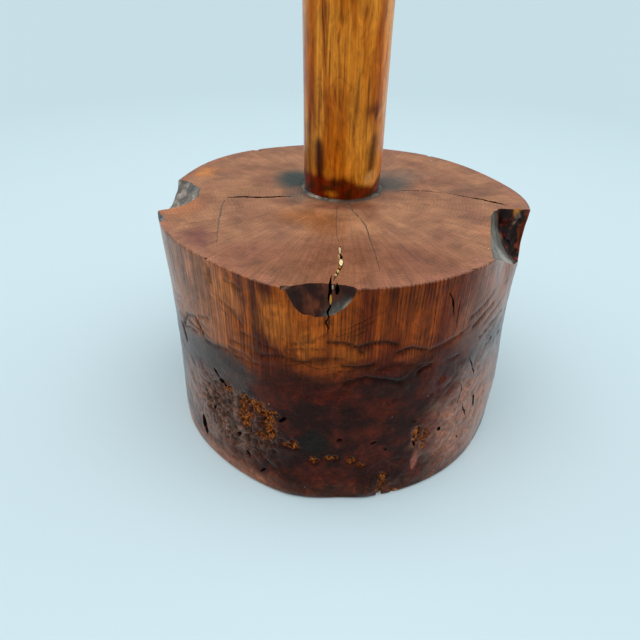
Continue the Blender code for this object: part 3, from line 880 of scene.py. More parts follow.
def make_head_blank():
    """The whole log with its relief and paint, before the scallops and cracks are cut."""
    rows = head_rows()
    degrees = np.linspace(-180.0, 180.0, HEAD_COLUMNS, endpoint=False)
    points = head_points(rows, degrees)
    kinds = np.array([kind for kind, _, _ in rows])
    paint = np.zeros_like(points)
    clean = np.zeros(points.shape[:2])
    rough = np.zeros(points.shape[:2])

    side = kinds == "side"
    flat = points[side].reshape(-1, 3)
    turn = np.tile(degrees, side.sum())
    up = flat[:, 2]
    burl = burl_share(flat, turn, up)
    crumbs = crumb_share(flat, turn, up)
    dark, deep = gouge_share(turn, up)
    outward, relief = side_shape(flat, turn, up, burl, crumbs, deep)
    colours, upright = side_paint(flat, turn, up, burl, crumbs, dark, relief)
    away = np.stack([np.cos(np.radians(turn)), np.sin(np.radians(turn)), np.zeros(len(turn))], -1)
    points[side] = (flat + away * outward[:, None]).reshape(points[side].shape)
    paint[side] = colours.reshape(points[side].shape)
    clean[side] = upright.reshape(clean[side].shape)
    rough[side] = (0.5 * crumbs + 0.15 * dark).reshape(rough[side].shape)

    top = kinds == "top"
    flat = points[top].reshape(-1, 3)
    paint[top] = top_paint(flat).reshape(points[top].shape)
    under = kinds == "under"
    paint[under] = under_paint(points[under].reshape(-1, 3)).reshape(points[under].shape)
    paint[kinds == "bore"] = srgb(60, 40, 30)

    faces = wrapped_faces(len(rows), len(degrees), True)
    mesh = make_mesh("mallet_head_fine", points.reshape(-1, 3), faces, paint.reshape(-1, 3), clean.ravel(), rough.ravel())
    slot_of = {"side": 0, "top": 1, "bore": 2, "under": 1}
    last_side = np.flatnonzero(side)[-1]
    row_slots = np.array([slot_of[kind] for kind in kinds])
    row_slots[last_side] = slot_of["top"]
    mesh.materials.append(side_material())
    mesh.materials.append(top_material())
    mesh.materials.append(torn_material("bore_wood", 0.8))
    mesh.polygons.foreach_set("material_index", np.repeat(row_slots, len(degrees)).astype(np.int32))
    return add_object("mallet_head_fine", mesh)


# ---------------------------------------------------------------- cutters


def cut(piece, cutter):
    """Takes the cutter away from the piece. The cut faces keep the cutter's paint and material."""
    modifier = piece.modifiers.new("cut", "BOOLEAN")
    modifier.operation = "DIFFERENCE"
    modifier.solver = "EXACT"
    modifier.material_mode = "TRANSFER"
    modifier.object = cutter
    graph = bpy.context.evaluated_depsgraph_get()
    cut_mesh = bpy.data.meshes.new_from_object(piece.evaluated_get(graph))
    piece.modifiers.clear()
    if len(cut_mesh.polygons) < 0.9 * len(piece.data.polygons):
        raise ValueError(f"the {cutter.name} cut took away most of {piece.name}")
    cut_mesh.name = piece.name
    piece.data = cut_mesh
    bpy.data.objects.remove(cutter)


def ball(subdivisions):
    """The points and faces of a unit ball of even triangles."""
    shape = bmesh.new()
    bmesh.ops.create_icosphere(shape, subdivisions=subdivisions, radius=1.0)
    points = np.array([vert.co[:] for vert in shape.verts])
    faces = np.array([[vert.index for vert in face.verts] for face in shape.faces])
    shape.free()
    return points, faces


def cutter_from(name, points, faces, material):
    mesh = make_mesh(name, points, np.array(faces), (0.1, 0.1, 0.1), 0.0, 0.0)
    mesh.materials.append(material)
    return add_object(name, mesh)


def torn_ellipsoid(name, centre, radii, ragged, material):
    """An ellipsoid cutter whose surface is rough, with ridges that run up and down like torn fibres."""
    unit, faces = ball(6)
    points = unit * radii + centre
    fibres = noise_at(points, 2.2, 50, (1.0, 1.0, 5.0)) + 0.6 * noise_at(points, 6.0, 51)
    points = points + unit * (ragged * fibres)[:, None]
    return cutter_from(name, points, faces, material)


def front_paint(points):
    """Dark brown, bluish towards its lower right, with a thin pale worn edge there."""
    cloudy = noise_at(points, 4.0, 60) + 0.5 * noise_at(points, 1.6, 61)
    paint = mix(srgb(40, 17, 10), srgb(88, 44, 26), smooth(-0.3, 0.7, cloudy))
    reach = np.hypot((points[:, 0] + 9.0) / 10.5, (points[:, 2] - 91.0) / 11.5)
    bluish = smooth(0.6, 0.98, reach) * smooth(-9.0, -4.0, points[:, 0]) * smooth(88.0, 83.0, points[:, 2])
    paint = mix(paint, srgb(92, 92, 86), 0.75 * bluish)
    worn = smooth(0.93, 1.03, reach + 0.06 * cloudy) * smooth(-7.0, -3.0, points[:, 0])
    return mix(paint, srgb(176, 158, 138), 0.75 * worn * smooth(87.5, 84.0, points[:, 2]))


def left_paint(points):
    """Weathered grey, with darker spots and a dark inner corner."""
    cloudy = noise_at(points, 3.4, 62) + 0.6 * noise_at(points, 1.4, 63)
    paint = mix(srgb(98, 92, 86), srgb(148, 140, 130), smooth(-0.4, 0.5, cloudy))
    corner = 1.0 - smooth(2.0, 5.0, np.linalg.norm(points - (-57.5, 11.5, 88.5), axis=1) + cloudy)
    paint = mix(paint, srgb(84, 88, 86), 0.8 * corner)
    return mix(paint, srgb(70, 66, 62), 0.7 * smooth(0.35, 0.7, noise_at(points, 2.2, 67)))


def slope_paint(points):
    """The long gouge mark: smooth grey, pale at its front end, dark where it is torn, and painted dark past x 59 as the
    shade of a hollow, with the wood's own dark stain.
    """
    cloudy = noise_at(points, 5.0, 64) + 0.5 * noise_at(points, 1.8, 65)
    paint = mix(srgb(76, 74, 66), srgb(114, 109, 99), smooth(-0.4, 0.5, cloudy))
    paint = mix(paint, srgb(166, 164, 154), 0.8 * smooth(-20.0, -31.0, points[:, 1]) * smooth(86.0, 81.0, points[:, 2]))
    torn = smooth(-10.6, -9.0, points[:, 1] + 0.6 * cloudy)
    # Painted shade: the floor past x 59 takes the torn wood's dark colour, as the shade of the hollow under the rim.
    painted_hollow_shade = smooth(-33.0, -27.0, points[:, 1]) * smooth(58.8, 60.2, points[:, 0] + 0.6 * cloudy)
    return mix(paint, torn_paint(points), np.maximum(torn, painted_hollow_shade))


def torn_paint(points):
    """The broken wood at the end of the gouge mark: red-black, partly its own dark stain and partly painted shade of
    the hollow, with grey and amber scraps.
    """
    cloudy = noise_at(points, 2.6, 68) + 0.5 * noise_at(points, 1.2, 69)
    # The red-black base is partly painted shade of the hollow.
    paint = mix(srgb(26, 9, 4), srgb(104, 32, 10), smooth(0.0, 0.6, cloudy))
    paint = mix(paint, srgb(142, 66, 34), 0.7 * smooth(66.4, 67.6, points[:, 0] + 1.2 * cloudy))
    for centre, size, colour in (
        ((63.6, -8.0, 90.2), 1.7, srgb(196, 128, 36)),
        ((64.2, -8.0, 87.4), 1.6, srgb(112, 92, 82)),
        ((64.4, -8.5, 84.0), 1.9, srgb(164, 124, 102)),
        ((60.0, -9.0, 84.0), 2.2, srgb(98, 26, 12)),
    ):
        away = np.linalg.norm(points - centre, axis=1) + 0.8 * cloudy
        paint = mix(paint, colour, 0.9 * (1.0 - smooth(0.5 * size, 1.1 * size, away)))
    return paint


# The gouge mark along the right shoulder, from its shallow front end to its deep torn end:
# (y, x of its inner edge on the upper face, width of its curved wall, height of its floor).
GOUGE_STATIONS = (
    (-51.0, 45.0, 4.0, 90.4),
    (-45.0, 45.8, 7.0, 87.2),
    (-38.0, 47.0, 9.0, 83.0),
    (-30.0, 48.7, 11.0, 78.6),
    (-22.0, 50.4, 12.0, 76.0),
    (-14.0, 52.8, 12.0, 74.6),
    (-10.0, 54.6, 10.5, 74.4),
    (-8.0, 56.6, 8.5, 74.6),
)


# Rings of points across the groove's torn end.
TORN_RINGS = 20


def gouge_section(inner, width, floor):
    """The (x, z) outline of the groove: a curved inner wall, a floor, and open space above."""
    rise = HEAD_HEIGHT - floor
    wall = [(inner + width * share, floor + rise * (1.0 - share) ** 2) for share in np.linspace(0.0, 1.0, 26)]
    outside, above = 84.0, HEAD_HEIGHT + 8.0
    last_x = wall[-1][0]
    level = [(x, floor) for x in np.linspace(last_x, outside, 26)[1:]]
    return wall + level + [(x, above) for x in np.linspace(outside, inner - 0.4, 22)]


def gouge_cutter(material):
    """A long round groove that deepens towards its torn end, laid along the log's right shoulder."""
    stations = np.array(GOUGE_STATIONS)
    rows = np.linspace(stations[0, 0], stations[-1, 0], 70)
    sections = []
    for y in rows:
        inner, width, floor = (np.interp(y, stations[:, 0], stations[:, column]) for column in (1, 2, 3))
        sections.append([(x, y, z) for x, z in gouge_section(inner, width, floor)])
    points = np.array(sections).reshape(-1, 3)
    columns = len(sections[0])
    below = smooth(HEAD_HEIGHT + 1.0, HEAD_HEIGHT - 1.0, points[:, 2])
    points[:, 2] += below * (0.3 * noise_at(points, 3.0, 52) + 0.35 * noise_at(points, 8.0, 53))
    points[:, 0] += 0.4 * noise_at(points, 6.0, 54)
    torn_end = smooth(-10.0, -8.5, points[:, 1])
    points[:, 1] += torn_end * 1.6 * noise_at(points, 4.0, 55)
    rings = np.concatenate(end_disc(points.reshape(-1, columns, 3), TORN_RINGS))
    rings[:, 1] += 1.1 * noise_at(rings, 3.4, 56)
    points = np.concatenate([points, rings])
    row_count = len(rows) + TORN_RINGS
    faces = wrapped_faces(row_count, columns, False).tolist()
    faces += [list(range(columns)), list(range((row_count - 1) * columns, row_count * columns))[::-1]]
    mesh = bpy.data.meshes.new("gouge")
    mesh.from_pydata((points * MM).tolist(), [], faces)
    paint_mesh(mesh, (0.1, 0.1, 0.1), 0.0, 0.0)
    mesh.materials.append(material)
    return turned_outward("gouge", add_object("gouge", mesh))


def cut_scallops(head):
    """Cuts the three scallops in the rim, and returns what paints each."""
    front = torn_material("scallop_front", 0.42, 0.12, 0.05)
    left = torn_material("scallop_left", 0.6, 0.2)
    slope = torn_material("scallop_right", 0.5, 0.2)
    broken = torn_material("scallop_torn", 0.4, 0.12, 0.05)
    cut(head, torn_ellipsoid("front", (-8.0, -78.0, 93.0), (18.0, 14.0, 20.0), 0.35, front))
    cut(head, torn_ellipsoid("left", (-72.0, 1.5, 95.0), (18.5, 18.0, 13.5), 0.5, left))
    cut(head, gouge_cutter(slope))
    cut(head, torn_ellipsoid("pocket", (66.8, -15.0, 80.5), (7.6, 9.6, 9.5), 1.0, broken))
    return {
        "scallop_front": front_paint,
        "scallop_left": left_paint,
        "scallop_right": slope_paint,
        "scallop_torn": torn_paint,
    }


def ragged_route(route, step, jitter, rng):
    """More points along a route of (x, y, half width), with small random steps aside."""
    fine = []
    for (x0, y0, w0), (x1, y1, w1) in zip(route, route[1:]):
        count = max(1, round(math.hypot(x1 - x0, y1 - y0) / step))
        for i in range(count):
            share = i / count
            width = (w0 + (w1 - w0) * share) * rng.uniform(0.7, 1.3)
            aside = rng.uniform(-jitter, jitter), rng.uniform(-jitter, jitter)
            fine.append((x0 + (x1 - x0) * share + aside[0], y0 + (y1 - y0) * share + aside[1], width))
    fine.append(route[-1])
    return fine


def blade(places, depth, lift=1.5):
    """A V-shaped ribbon that cuts a crack. Each place is (point, outward normal, half width)."""
    points, faces = [], []
    last = len(places) - 1
    for i, (point, normal, half_width) in enumerate(places):
        along = (places[min(i + 1, last)][0] - places[max(i - 1, 0)][0]).normalized()
        side = normal.cross(along).normalized() * half_width
        spread = 1.0 + lift / depth
        points += [point + normal * lift + side * spread, point + normal * lift - side * spread, point - normal * depth]
    for i in range(last):
        a, b = 3 * i, 3 * i + 3
        for j in range(3):
            k = (j + 1) % 3
            faces.append((a + j, b + j, b + k, a + k))
    faces = [face[:3] for face in faces] + [(face[0], face[2], face[3]) for face in faces]
    faces += [(0, 1, 2), (3 * last + 2, 3 * last + 1, 3 * last)]
    return [tuple(point) for point in points], faces


def join_shapes(shapes):
    """One list of points and faces from several."""
    points, faces = [], []
    for more_points, more_faces in shapes:
        start = len(points)
        points += list(more_points)
        faces += [tuple(index + start for index in face) for face in more_faces]
    return np.array(points), faces


def turned_outward(name, obj):
    """Turns the faces of a cutter outward."""
    shape = bmesh.new()
    shape.from_mesh(obj.data)
    bmesh.ops.recalc_face_normals(shape, faces=shape.faces)
    shape.to_mesh(obj.data)
    shape.free()
    obj.name = name
    return obj


def top_blade(route, depth, rng, jitter=0.18):
    up = Vector((0.0, 0.0, 1.0))
    fine = ragged_route(route, 1.2, jitter, rng)
    return blade([(Vector((x, y, HEAD_HEIGHT)), up, width) for x, y, width in fine], depth)


def side_blade(route, depth, rng, jitter=0.18, inward=0.0):
    """A crack down the side. Each point of the route is (angle, height, half width)."""
    arc = math.radians(1.0) * HEAD_RADIUS
    fine = ragged_route([(angle * arc, height, width) for angle, height, width in route], 1.2, jitter, rng)
    places = []
    for across, height, width in fine:
        point = on_side(across / arc, height, -inward)
        normal = Vector((point.x, point.y, 0.0)).normalized()
        places.append((point, normal, width))
    return blade(places, depth)


# The check through the front scallop: (x, y, z, half width) down its wall and the log's side.
FRONT_CHECK = (
    (-5.3, -63.6, 90.6, 0.35),
    (-5.1, -64.2, 87.8, 0.5),
    (-5.6, -65.2, 85.6, 0.34),
    (-5.0, -66.0, 83.6, 0.26),
    (-5.9, -66.8, 81.8, 0.4),
    (-5.4, -67.4, 80.3, 0.2),
    (-6.4, -67.8, 78.6, 0.34),
    (-5.6, -68.0, 76.4, 0.3),
    (-5.8, -68.0, 74.2, 0.05),
)

# Cracks in the upper face: (route of (x, y, half width), depth).
TOP_CRACKS = (
    (((-43.4, -1.0, 0.4), (-38.9, -0.2, 0.66), (-31.4, -0.5, 0.6), (-24.0, 0.4, 0.5), (-19.4, 1.0, 0.15)), 5.0),
    (((19.2, 7.8, 0.08), (26.3, 9.1, 0.28), (30.0, 9.0, 0.3)), 3.5),
    (((30.6, 8.9, 0.15), (34.0, 8.4, 0.25), (38.5, 7.2, 0.08)), 3.0),
    (((40.5, 6.9, 0.1), (47.0, 3.6, 0.3), (51.9, 1.4, 0.55), (57.0, -1.6, 0.6), (61.0, -4.4, 0.15)), 3.5),
    (((-1.8, -40.5, 0.1), (-2.1, -46.0, 0.4), (-1.9, -52.0, 0.55), (-2.6, -56.0, 0.45), (-3.6, -60.0, 0.3), (-4.2, -62.6, 0.1)), 4.0),
)

# Thin grey lines in the upper face, filled with dust: (route, depth).
DUSTY_LINES = (
    (
        (
            (0.6, -4.7, 0.16), (2.9, -11.1, 0.26), (5.5, -18.1, 0.22), (7.2, -24.7, 0.24),
            (7.9, -35.6, 0.2), (9.1, -46.1, 0.16), (9.6, -57.0, 0.05),
        ),
        0.3,
    ),
    (((-44.2, -3.4, 0.1), (-44.4, -9.4, 0.32), (-43.6, -22.0, 0.3), (-41.6, -39.1, 0.08)), 0.16),
    (((-2.4, -8.0, 0.05), (-2.8, -20.0, 0.14), (-3.0, -30.0, 0.12), (-2.2, -39.0, 0.05)), 0.25),
)

# Cracks down the side: (route of (angle, height, half width), depth).
SIDE_CRACKS = (
    (((-62.8, 85.0, 0.08), (-61.4, 82.0, 0.3), (-60.2, 78.5, 0.35), (-59.6, 74.8, 0.1)), 2.5),
    (((-58.4, 80.6, 0.06), (-58.0, 75.0, 0.2), (-57.6, 68.0, 0.06)), 2.0),
    (((-48.4, 52.5, 0.08), (-45.6, 47.5, 0.35), (-43.6, 42.0, 0.08)), 2.0),
    (((-50.4, 42.6, 0.08), (-49.1, 38.0, 0.4), (-50.4, 34.2, 0.1)), 2.0),
    (((-47.6, 31.4, 0.08), (-46.0, 27.0, 0.4), (-44.4, 23.6, 0.08)), 2.0),
    (((12.0, 84.0, 0.08), (12.8, 76.0, 0.35), (11.6, 64.0, 0.3), (12.4, 52.0, 0.08)), 3.0),
    (((58.0, 88.0, 0.3), (57.2, 74.0, 0.3), (58.2, 60.0, 0.08)), 3.0),
    (((118.0, 80.0, 0.06), (119.0, 68.0, 0.3), (117.6, 50.0, 0.08)), 3.0),
    (((150.0, 70.0, 0.06), (150.8, 58.0, 0.25), (149.4, 46.0, 0.06)), 2.5),
)


def front_check():
    """The jagged crack that runs down the front scallop."""
    normal = Vector((-0.08, -1.0, 0.0)).normalized()
    return blade([(Vector(place[:3]), normal, place[3]) for place in FRONT_CHECK], 5.0, lift=2.0)


def pit_shape(centre, outward, sizes, turn, seed):
    """A lumpy ball. Its sizes are half its width, half its height and its depth."""
    unit, faces = ball(3)
    across = np.array((-outward[1], outward[0], 0.0))
    up = np.array((0.0, 0.0, 1.0))
    lean = math.radians(turn)
    wide = across * math.cos(lean) + up * math.sin(lean)
    tall = up * math.cos(lean) - across * math.sin(lean)
    lumpy = unit * (1.0 + 0.45 * noise_at(unit, 0.7, seed))[:, None]
    frame_axes = np.array((wide * sizes[0], tall * sizes[1], outward * sizes[2]))
    return np.array(centre) + lumpy @ frame_axes, faces


def side_pit(place, seed):
    angle, height, half_width, half_height, depth, turn = place
    outward = np.array((math.cos(math.radians(angle)), math.sin(math.radians(angle)), 0.0))
    return pit_shape(on_side(angle, height), outward, (half_width, half_height, depth), turn, seed)


def pit_paint(points):
    return mix(srgb(22, 11, 7), srgb(104, 50, 22), smooth(0.1, 0.6, noise_at(points, 1.6, 71)))


def chip_paint(points):
    """Warm raw wood at the foot, browner and greyer at the rim, bluish at the rim's front left corner."""
    cloudy = smooth(-0.3, 0.4, noise_at(points, 1.4, 72))
    warm = mix(srgb(92, 56, 38), srgb(176, 122, 82), cloudy)
    weathered = mix(srgb(68, 48, 38), srgb(132, 100, 80), cloudy)
    paint = mix(warm, weathered, smooth(20.0, 40.0, points[:, 2]))
    corner = 1.0 - smooth(4.0, 8.0, np.hypot(points[:, 0] + 65.0, points[:, 1] + 19.0))
    return mix(paint, mix(srgb(70, 76, 84), srgb(120, 122, 126), cloudy), corner)


def flat_paint(colour):
    return lambda points: np.tile(colour, (len(points), 1))


# Scratches and saw marks on the side: (route of (angle, height), half width).
SCRATCHES = (
    (((-77.6, 89.0), (-77.3, 74.0)), 0.12),
    (((-66.4, 84.0), (-66.2, 74.0)), 0.1),
    (((-150.0, 86.0), (-149.0, 72.0)), 0.12),
)

# Marks that cross them: drag marks of the saw, and knife slips where the bark was shaved.
CROSS_SCRATCHES = (
    (((-91.0, 75.3), (-86.0, 78.4), (-80.7, 81.8)), 0.12),
    (((-89.6, 74.1), (-83.0, 78.4)), 0.1),
    (((-88.0, 72.9), (-84.4, 75.6)), 0.14),
    (((-93.0, 72.6), (-89.8, 74.6)), 0.1),
    (((-68.6, 55.4), (-66.9, 57.1), (-64.6, 57.2)), 0.26),
    (((-57.4, 64.6), (-53.4, 66.6), (-49.6, 68.8)), 0.16),
    (((-51.2, 74.6), (-47.0, 76.2), (-43.4, 78.8)), 0.14),
    (((-106.8, 60.4), (-101.4, 62.0), (-96.6, 60.4), (-92.0, 61.4)), 0.1),
    (((-124.4, 85.6), (-119.2, 84.8)), 0.14),
    (((-127.4, 74.4), (-123.6, 71.6)), 0.12),
)


def scratch_blade(route, half_width, rng):
    ends = (0.05,) + (half_width,) * (len(route) - 2) + (0.05,)
    if len(route) == 2:
        middle = tuple((a + b) / 2 for a, b in zip(*route))
        route, ends = (route[0], middle, route[1]), (0.05, half_width, 0.05)
    return side_blade([(angle, height, width) for (angle, height), width in zip(route, ends)], 0.7, rng, 0.1)


def cut_marks(head):
    """Cuts the cracks, pits and chips, and returns what paints each."""
    rng = random.Random(7)
    scratched = flat_paint(srgb(46, 17, 7))
    lobe = pit_shape((-3.2, -64.4, 88.4), np.array((0.0, -1.0, 0.0)), (0.7, 1.8, 1.5), 0.0, 95)
    groups = (
        ("crack_black", [top_blade(route, depth, rng) for route, depth in TOP_CRACKS], flat_paint(srgb(34, 16, 8))),
        ("dusty_line", [top_blade(route, depth, rng, 0.12) for route, depth in DUSTY_LINES], flat_paint(srgb(122, 104, 90))),
        ("side_crack", [side_blade(route, depth, rng) for route, depth in SIDE_CRACKS], flat_paint(srgb(22, 11, 7))),
        ("scratch", [scratch_blade(route, width, rng) for route, width in SCRATCHES], scratched),
        ("cross_scratch", [scratch_blade(route, width, rng) for route, width in CROSS_SCRATCHES], scratched),
        ("front_check", [front_check()], flat_paint(srgb(18, 9, 5))),
        ("lobe", [lobe], flat_paint(srgb(12, 7, 5))),
        ("pit_wood", [side_pit(place, 70 + index) for index, place in enumerate(PITS)], pit_paint),
        ("chip_wood", [side_pit(place, 170 + index) for index, place in enumerate(CHIPS)], chip_paint),
    )
    painters = {}
    for name, shapes, painter in groups:
        points, faces = join_shapes(shapes)
        cutter = cutter_from(name, points, faces, torn_material(name, 0.85))
        cut(head, turned_outward(name, cutter))
        painters[name] = painter
    return painters


def drop_doubled_faces(mesh):
    """Makes the mesh triangles, and takes out the pairs of tiny ones that lie back to back."""
    shape = bmesh.new()
    shape.from_mesh(mesh)
    bmesh.ops.triangulate(shape, faces=shape.faces)
    first_of, doubled = {}, []
    for face in shape.faces:
        corners = frozenset(vert.index for vert in face.verts)
        if corners in first_of:
            doubled += [first_of.pop(corners), face]
        else:
            first_of[corners] = face
    bmesh.ops.delete(shape, geom=doubled, context="FACES")
    shape.to_mesh(mesh)
    shape.free()


def make_head():
    head = make_head_blank()
    painters = cut_scallops(head)
    painters.update(cut_marks(head))
    drop_doubled_faces(head.data)
    settle_paint(head.data, painters)
    head.data.set_sharp_from_angle(angle=math.radians(38.0))
    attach(head, "root")
    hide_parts("mallet_head")
    return head


# Raw slivers that stand in the front check: (centre, half sizes, colour).
SLIVERS = (
    ((-2.1, -43.0, 89.7), (0.4, 2.4, 0.5), srgb(226, 206, 158)),
    ((-2.4, -47.2, 89.7), (0.28, 1.6, 0.5), srgb(190, 150, 92)),
    ((-1.9, -51.2, 89.8), (0.6, 2.0, 0.5), srgb(238, 220, 172)),
    ((-2.3, -54.2, 89.7), (0.36, 0.9, 0.5), srgb(176, 120, 50)),
    ((-2.9, -56.6, 89.7), (0.45, 0.8, 0.5), srgb(222, 186, 120)),
    ((-3.6, -59.0, 89.7), (0.4, 0.7, 0.5), srgb(228, 190, 128)),
    ((-4.5, -64.4, 88.9), (0.3, 0.5, 1.0), srgb(150, 136, 122)),
    ((-5.0, -65.5, 85.3), (0.36, 0.6, 1.6), srgb(190, 140, 66)),
)


def make_slivers():
    unit, faces = ball(3)
    shapes, colours = [], []
    for index, (centre, sizes, colour) in enumerate(SLIVERS):
        lumpy = unit * (1.0 + 0.35 * noise_at(unit, 0.6, 90 + index))[:, None]
        shapes.append((lumpy * sizes + centre, faces))
        colours.append(np.tile(colour, (len(unit), 1)))
    points, all_faces = join_shapes(shapes)
    mesh = make_mesh("check_slivers", points, np.array(all_faces), np.concatenate(colours), 0.0, 0.0)
    mesh.materials.append(torn_material("raw_sliver", 0.6))
    slivers = add_object("check_slivers", mesh)
    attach(slivers, "root")
    return slivers


# ---------------------------------------------------------------- the handle

HANDLE_COLUMNS = 144
HANDLE_ROWS = 260
HANDLE_LEVELS = (0.4, 90.0, 94.5, 102.0, 124.0, 160.0, 195.0, 225.0, 250.0, 266.0)
HANDLE_RADII = (14.1, 14.3, 14.75, 15.1, 15.1, 15.6, 16.0, 15.5, 14.8, 14.5)
HANDLE_END = 4.0

# Knots on the stick: (angle, height, half width, half height, rise).
KNOTS = (
    (-50.0, 122.5, 3.6, 2.6, 0.5),
    (95.0, 148.0, 4.0, 3.4, 0.7),
    (-150.0, 186.0, 3.8, 3.0, 0.6),
    (20.0, 222.0, 3.2, 2.6, 0.5),
)

# Dark streaks on the stick: (angle at foot, angle at top, low end, high end, width, strength).
STICK_STREAKS = (
    (-126.0, -127.5, 96.0, 113.5, 2.0, 1.0),
    (-127.0, -126.0, 109.0, 140.0, 0.3, 0.8),
    (-137.0, -136.0, 110.0, 134.0, 0.35, 0.5),
    (-50.0, -44.0, 96.0, 115.0, 2.2, 0.85),
    (-44.0, -42.0, 112.0, 140.0, 0.4, 0.6),
    (-77.0, -75.5, 114.0, 134.0, 0.35, 0.7),
    (-61.0, -60.0, 110.0, 134.0, 0.35, 0.7),
    (-100.0, -97.0, 108.0, 132.0, 0.8, 0.4),
    (-114.0, -110.0, 106.0, 124.0, 0.3, 0.5),
    (-148.0, -146.0, 90.0, 122.0, 0.9, 0.6),
    (-158.0, -158.0, 90.0, 118.0, 0.8, 0.6),
    (-46.0, -46.0, 118.0, 123.0, 0.6, 0.7),
    (150.0, 146.0, 92.0, 150.0, 0.9, 0.6),
    (70.0, 74.0, 100.0, 180.0, 0.7, 0.6),
    (20.0, 18.0, 92.0, 140.0, 0.8, 0.6),
    (-100.0, -96.0, 150.0, 215.0, 0.7, 0.6),
    (-30.0, -36.0, 160.0, 240.0, 0.6, 0.6),
    (120.0, 124.0, 180.0, 260.0, 0.8, 0.6),
    (-140.0, -138.0, 200.0, 262.0, 0.6, 0.6),
)


def stick_reach(degrees, heights, centre, radii):
    across = np.radians(angle_between(degrees, centre[0])) * 15.0 / radii[0]
    return np.hypot(across, (heights - centre[1]) / radii[1])


def stick_radius(degrees, heights):
    radius = np.interp(heights, HANDLE_LEVELS, HANDLE_RADII)
    angles = np.radians(degrees)
    facets = 0.6 * np.cos(7 * angles) + 0.4 * np.cos(3 * angles + 1.0)
    shaved = smooth(HEAD_HEIGHT, HEAD_HEIGHT + 30.0, heights)
    radius = radius * (1.0 + 0.012 * shaved * facets)
    for angle, height, half_width, half_height, rise in KNOTS:
        reach = stick_reach(degrees, heights, (angle, height), (half_width, half_height))
        radius += rise * (np.exp(-(reach**2)) - 0.9 * np.exp(-((reach * 2.2) ** 2)))
    return radius


def stick_paint(points, degrees, heights):
    streaky = noise_at(points, 3.0, 80, (1.0, 1.0, 12.0))
    broad = noise_at(points, 8.0, 81, (1.0, 1.0, 4.0))
    paint = mix(srgb(212, 137, 44), srgb(192, 103, 10), smooth(-0.4, 0.5, broad + 0.6 * streaky))
    paint = mix(paint, srgb(140, 62, 6), 0.6 * smooth(0.25, 0.45, streaky))
    for foot_angle, top_angle, low, high, width, strength in STICK_STREAKS:
        share = np.clip((heights - low) / (high - low), 0.0, 1.0)
        centre = foot_angle + (top_angle - foot_angle) * share
        across = np.radians(angle_between(degrees, centre)) * 15.0
        taper = width * (0.35 + np.sin(math.pi * np.clip(share, 0.03, 0.97)))
        within = smooth(low - 1.0, low + 2.0, heights) * (1.0 - smooth(high - 3.0, high + 1.0, heights))
        paint = mix(paint, srgb(58, 22, 8), strength * within * np.exp(-((across / taper) ** 2)))
    for angle, height, half_width, half_height, _ in KNOTS:
        reach = stick_reach(degrees, heights, (angle, height), (half_width, half_height))
        paint = mix(paint, srgb(92, 40, 16), 0.8 * np.exp(-((reach / 0.8) ** 2)))
        paint = mix(paint, srgb(30, 12, 6), 0.9 * np.exp(-(((reach - 0.85) / 0.16) ** 2)) * smooth(-0.2, 0.4, streaky))
    shaded = 1.0 - smooth(14.0, 34.0, np.abs(angle_between(degrees, -158.0)))
    paint = paint * (1.0 - 0.3 * shaded)[:, None]
    stain_top = 97.6 + 1.2 * np.sin(np.radians(degrees + 200.0)) + 1.6 * streaky
    stain_top -= 3.0 * np.exp(-((angle_between(degrees, -52.0) / 28.0) ** 4))
    foot = 1.0 - smooth(stain_top - 1.4, stain_top + 1.4, heights)
    red = mix(srgb(104, 12, 0), srgb(56, 5, 0), smooth(-0.3, 0.4, noise_at(points, 3.0, 83)))
    paint = mix(paint, red, 0.92 * foot)
    glow = 1.0 - smooth(0.3, 1.1, stick_reach(degrees, heights, (-107.0, 92.2), (3.4, 1.6)))
    paint = mix(paint, srgb(196, 110, 22), 0.9 * glow)
    pale = 1.0 - smooth(0.4, 1.1, stick_reach(degrees, heights, (-47.0, 97.8), (4.4, 3.4)) + 0.4 * streaky)
    return mix(paint, srgb(210, 152, 86), 0.8 * pale)


def handle_rows():
    """(height, inset) from the tenon's foot to the rounded end."""
    rows = [(HANDLE_FOOT, 0.5)]
    rows += [(height, 0.0) for height in np.linspace(HANDLE_FOOT + 0.5, HANDLE_TOP - HANDLE_END, HANDLE_ROWS)]
    for step in range(1, 9):
        angle = math.pi / 2 * step / 8
        rise = HANDLE_END * (1.0 - math.sin(angle))
        rows.append((HANDLE_TOP - rise, HANDLE_END * (1.0 - math.cos(angle))))
    return rows


def end_disc(points, inward_rows):
    """Rings that close the end of a tube, from its last ring in to its middle."""
    ring = points[-1]
    middle = ring.mean(0)
    return [middle + (ring - middle) * (1.0 - share) for share in np.linspace(0.0, 1.0, inward_rows + 2)[1:-1]]


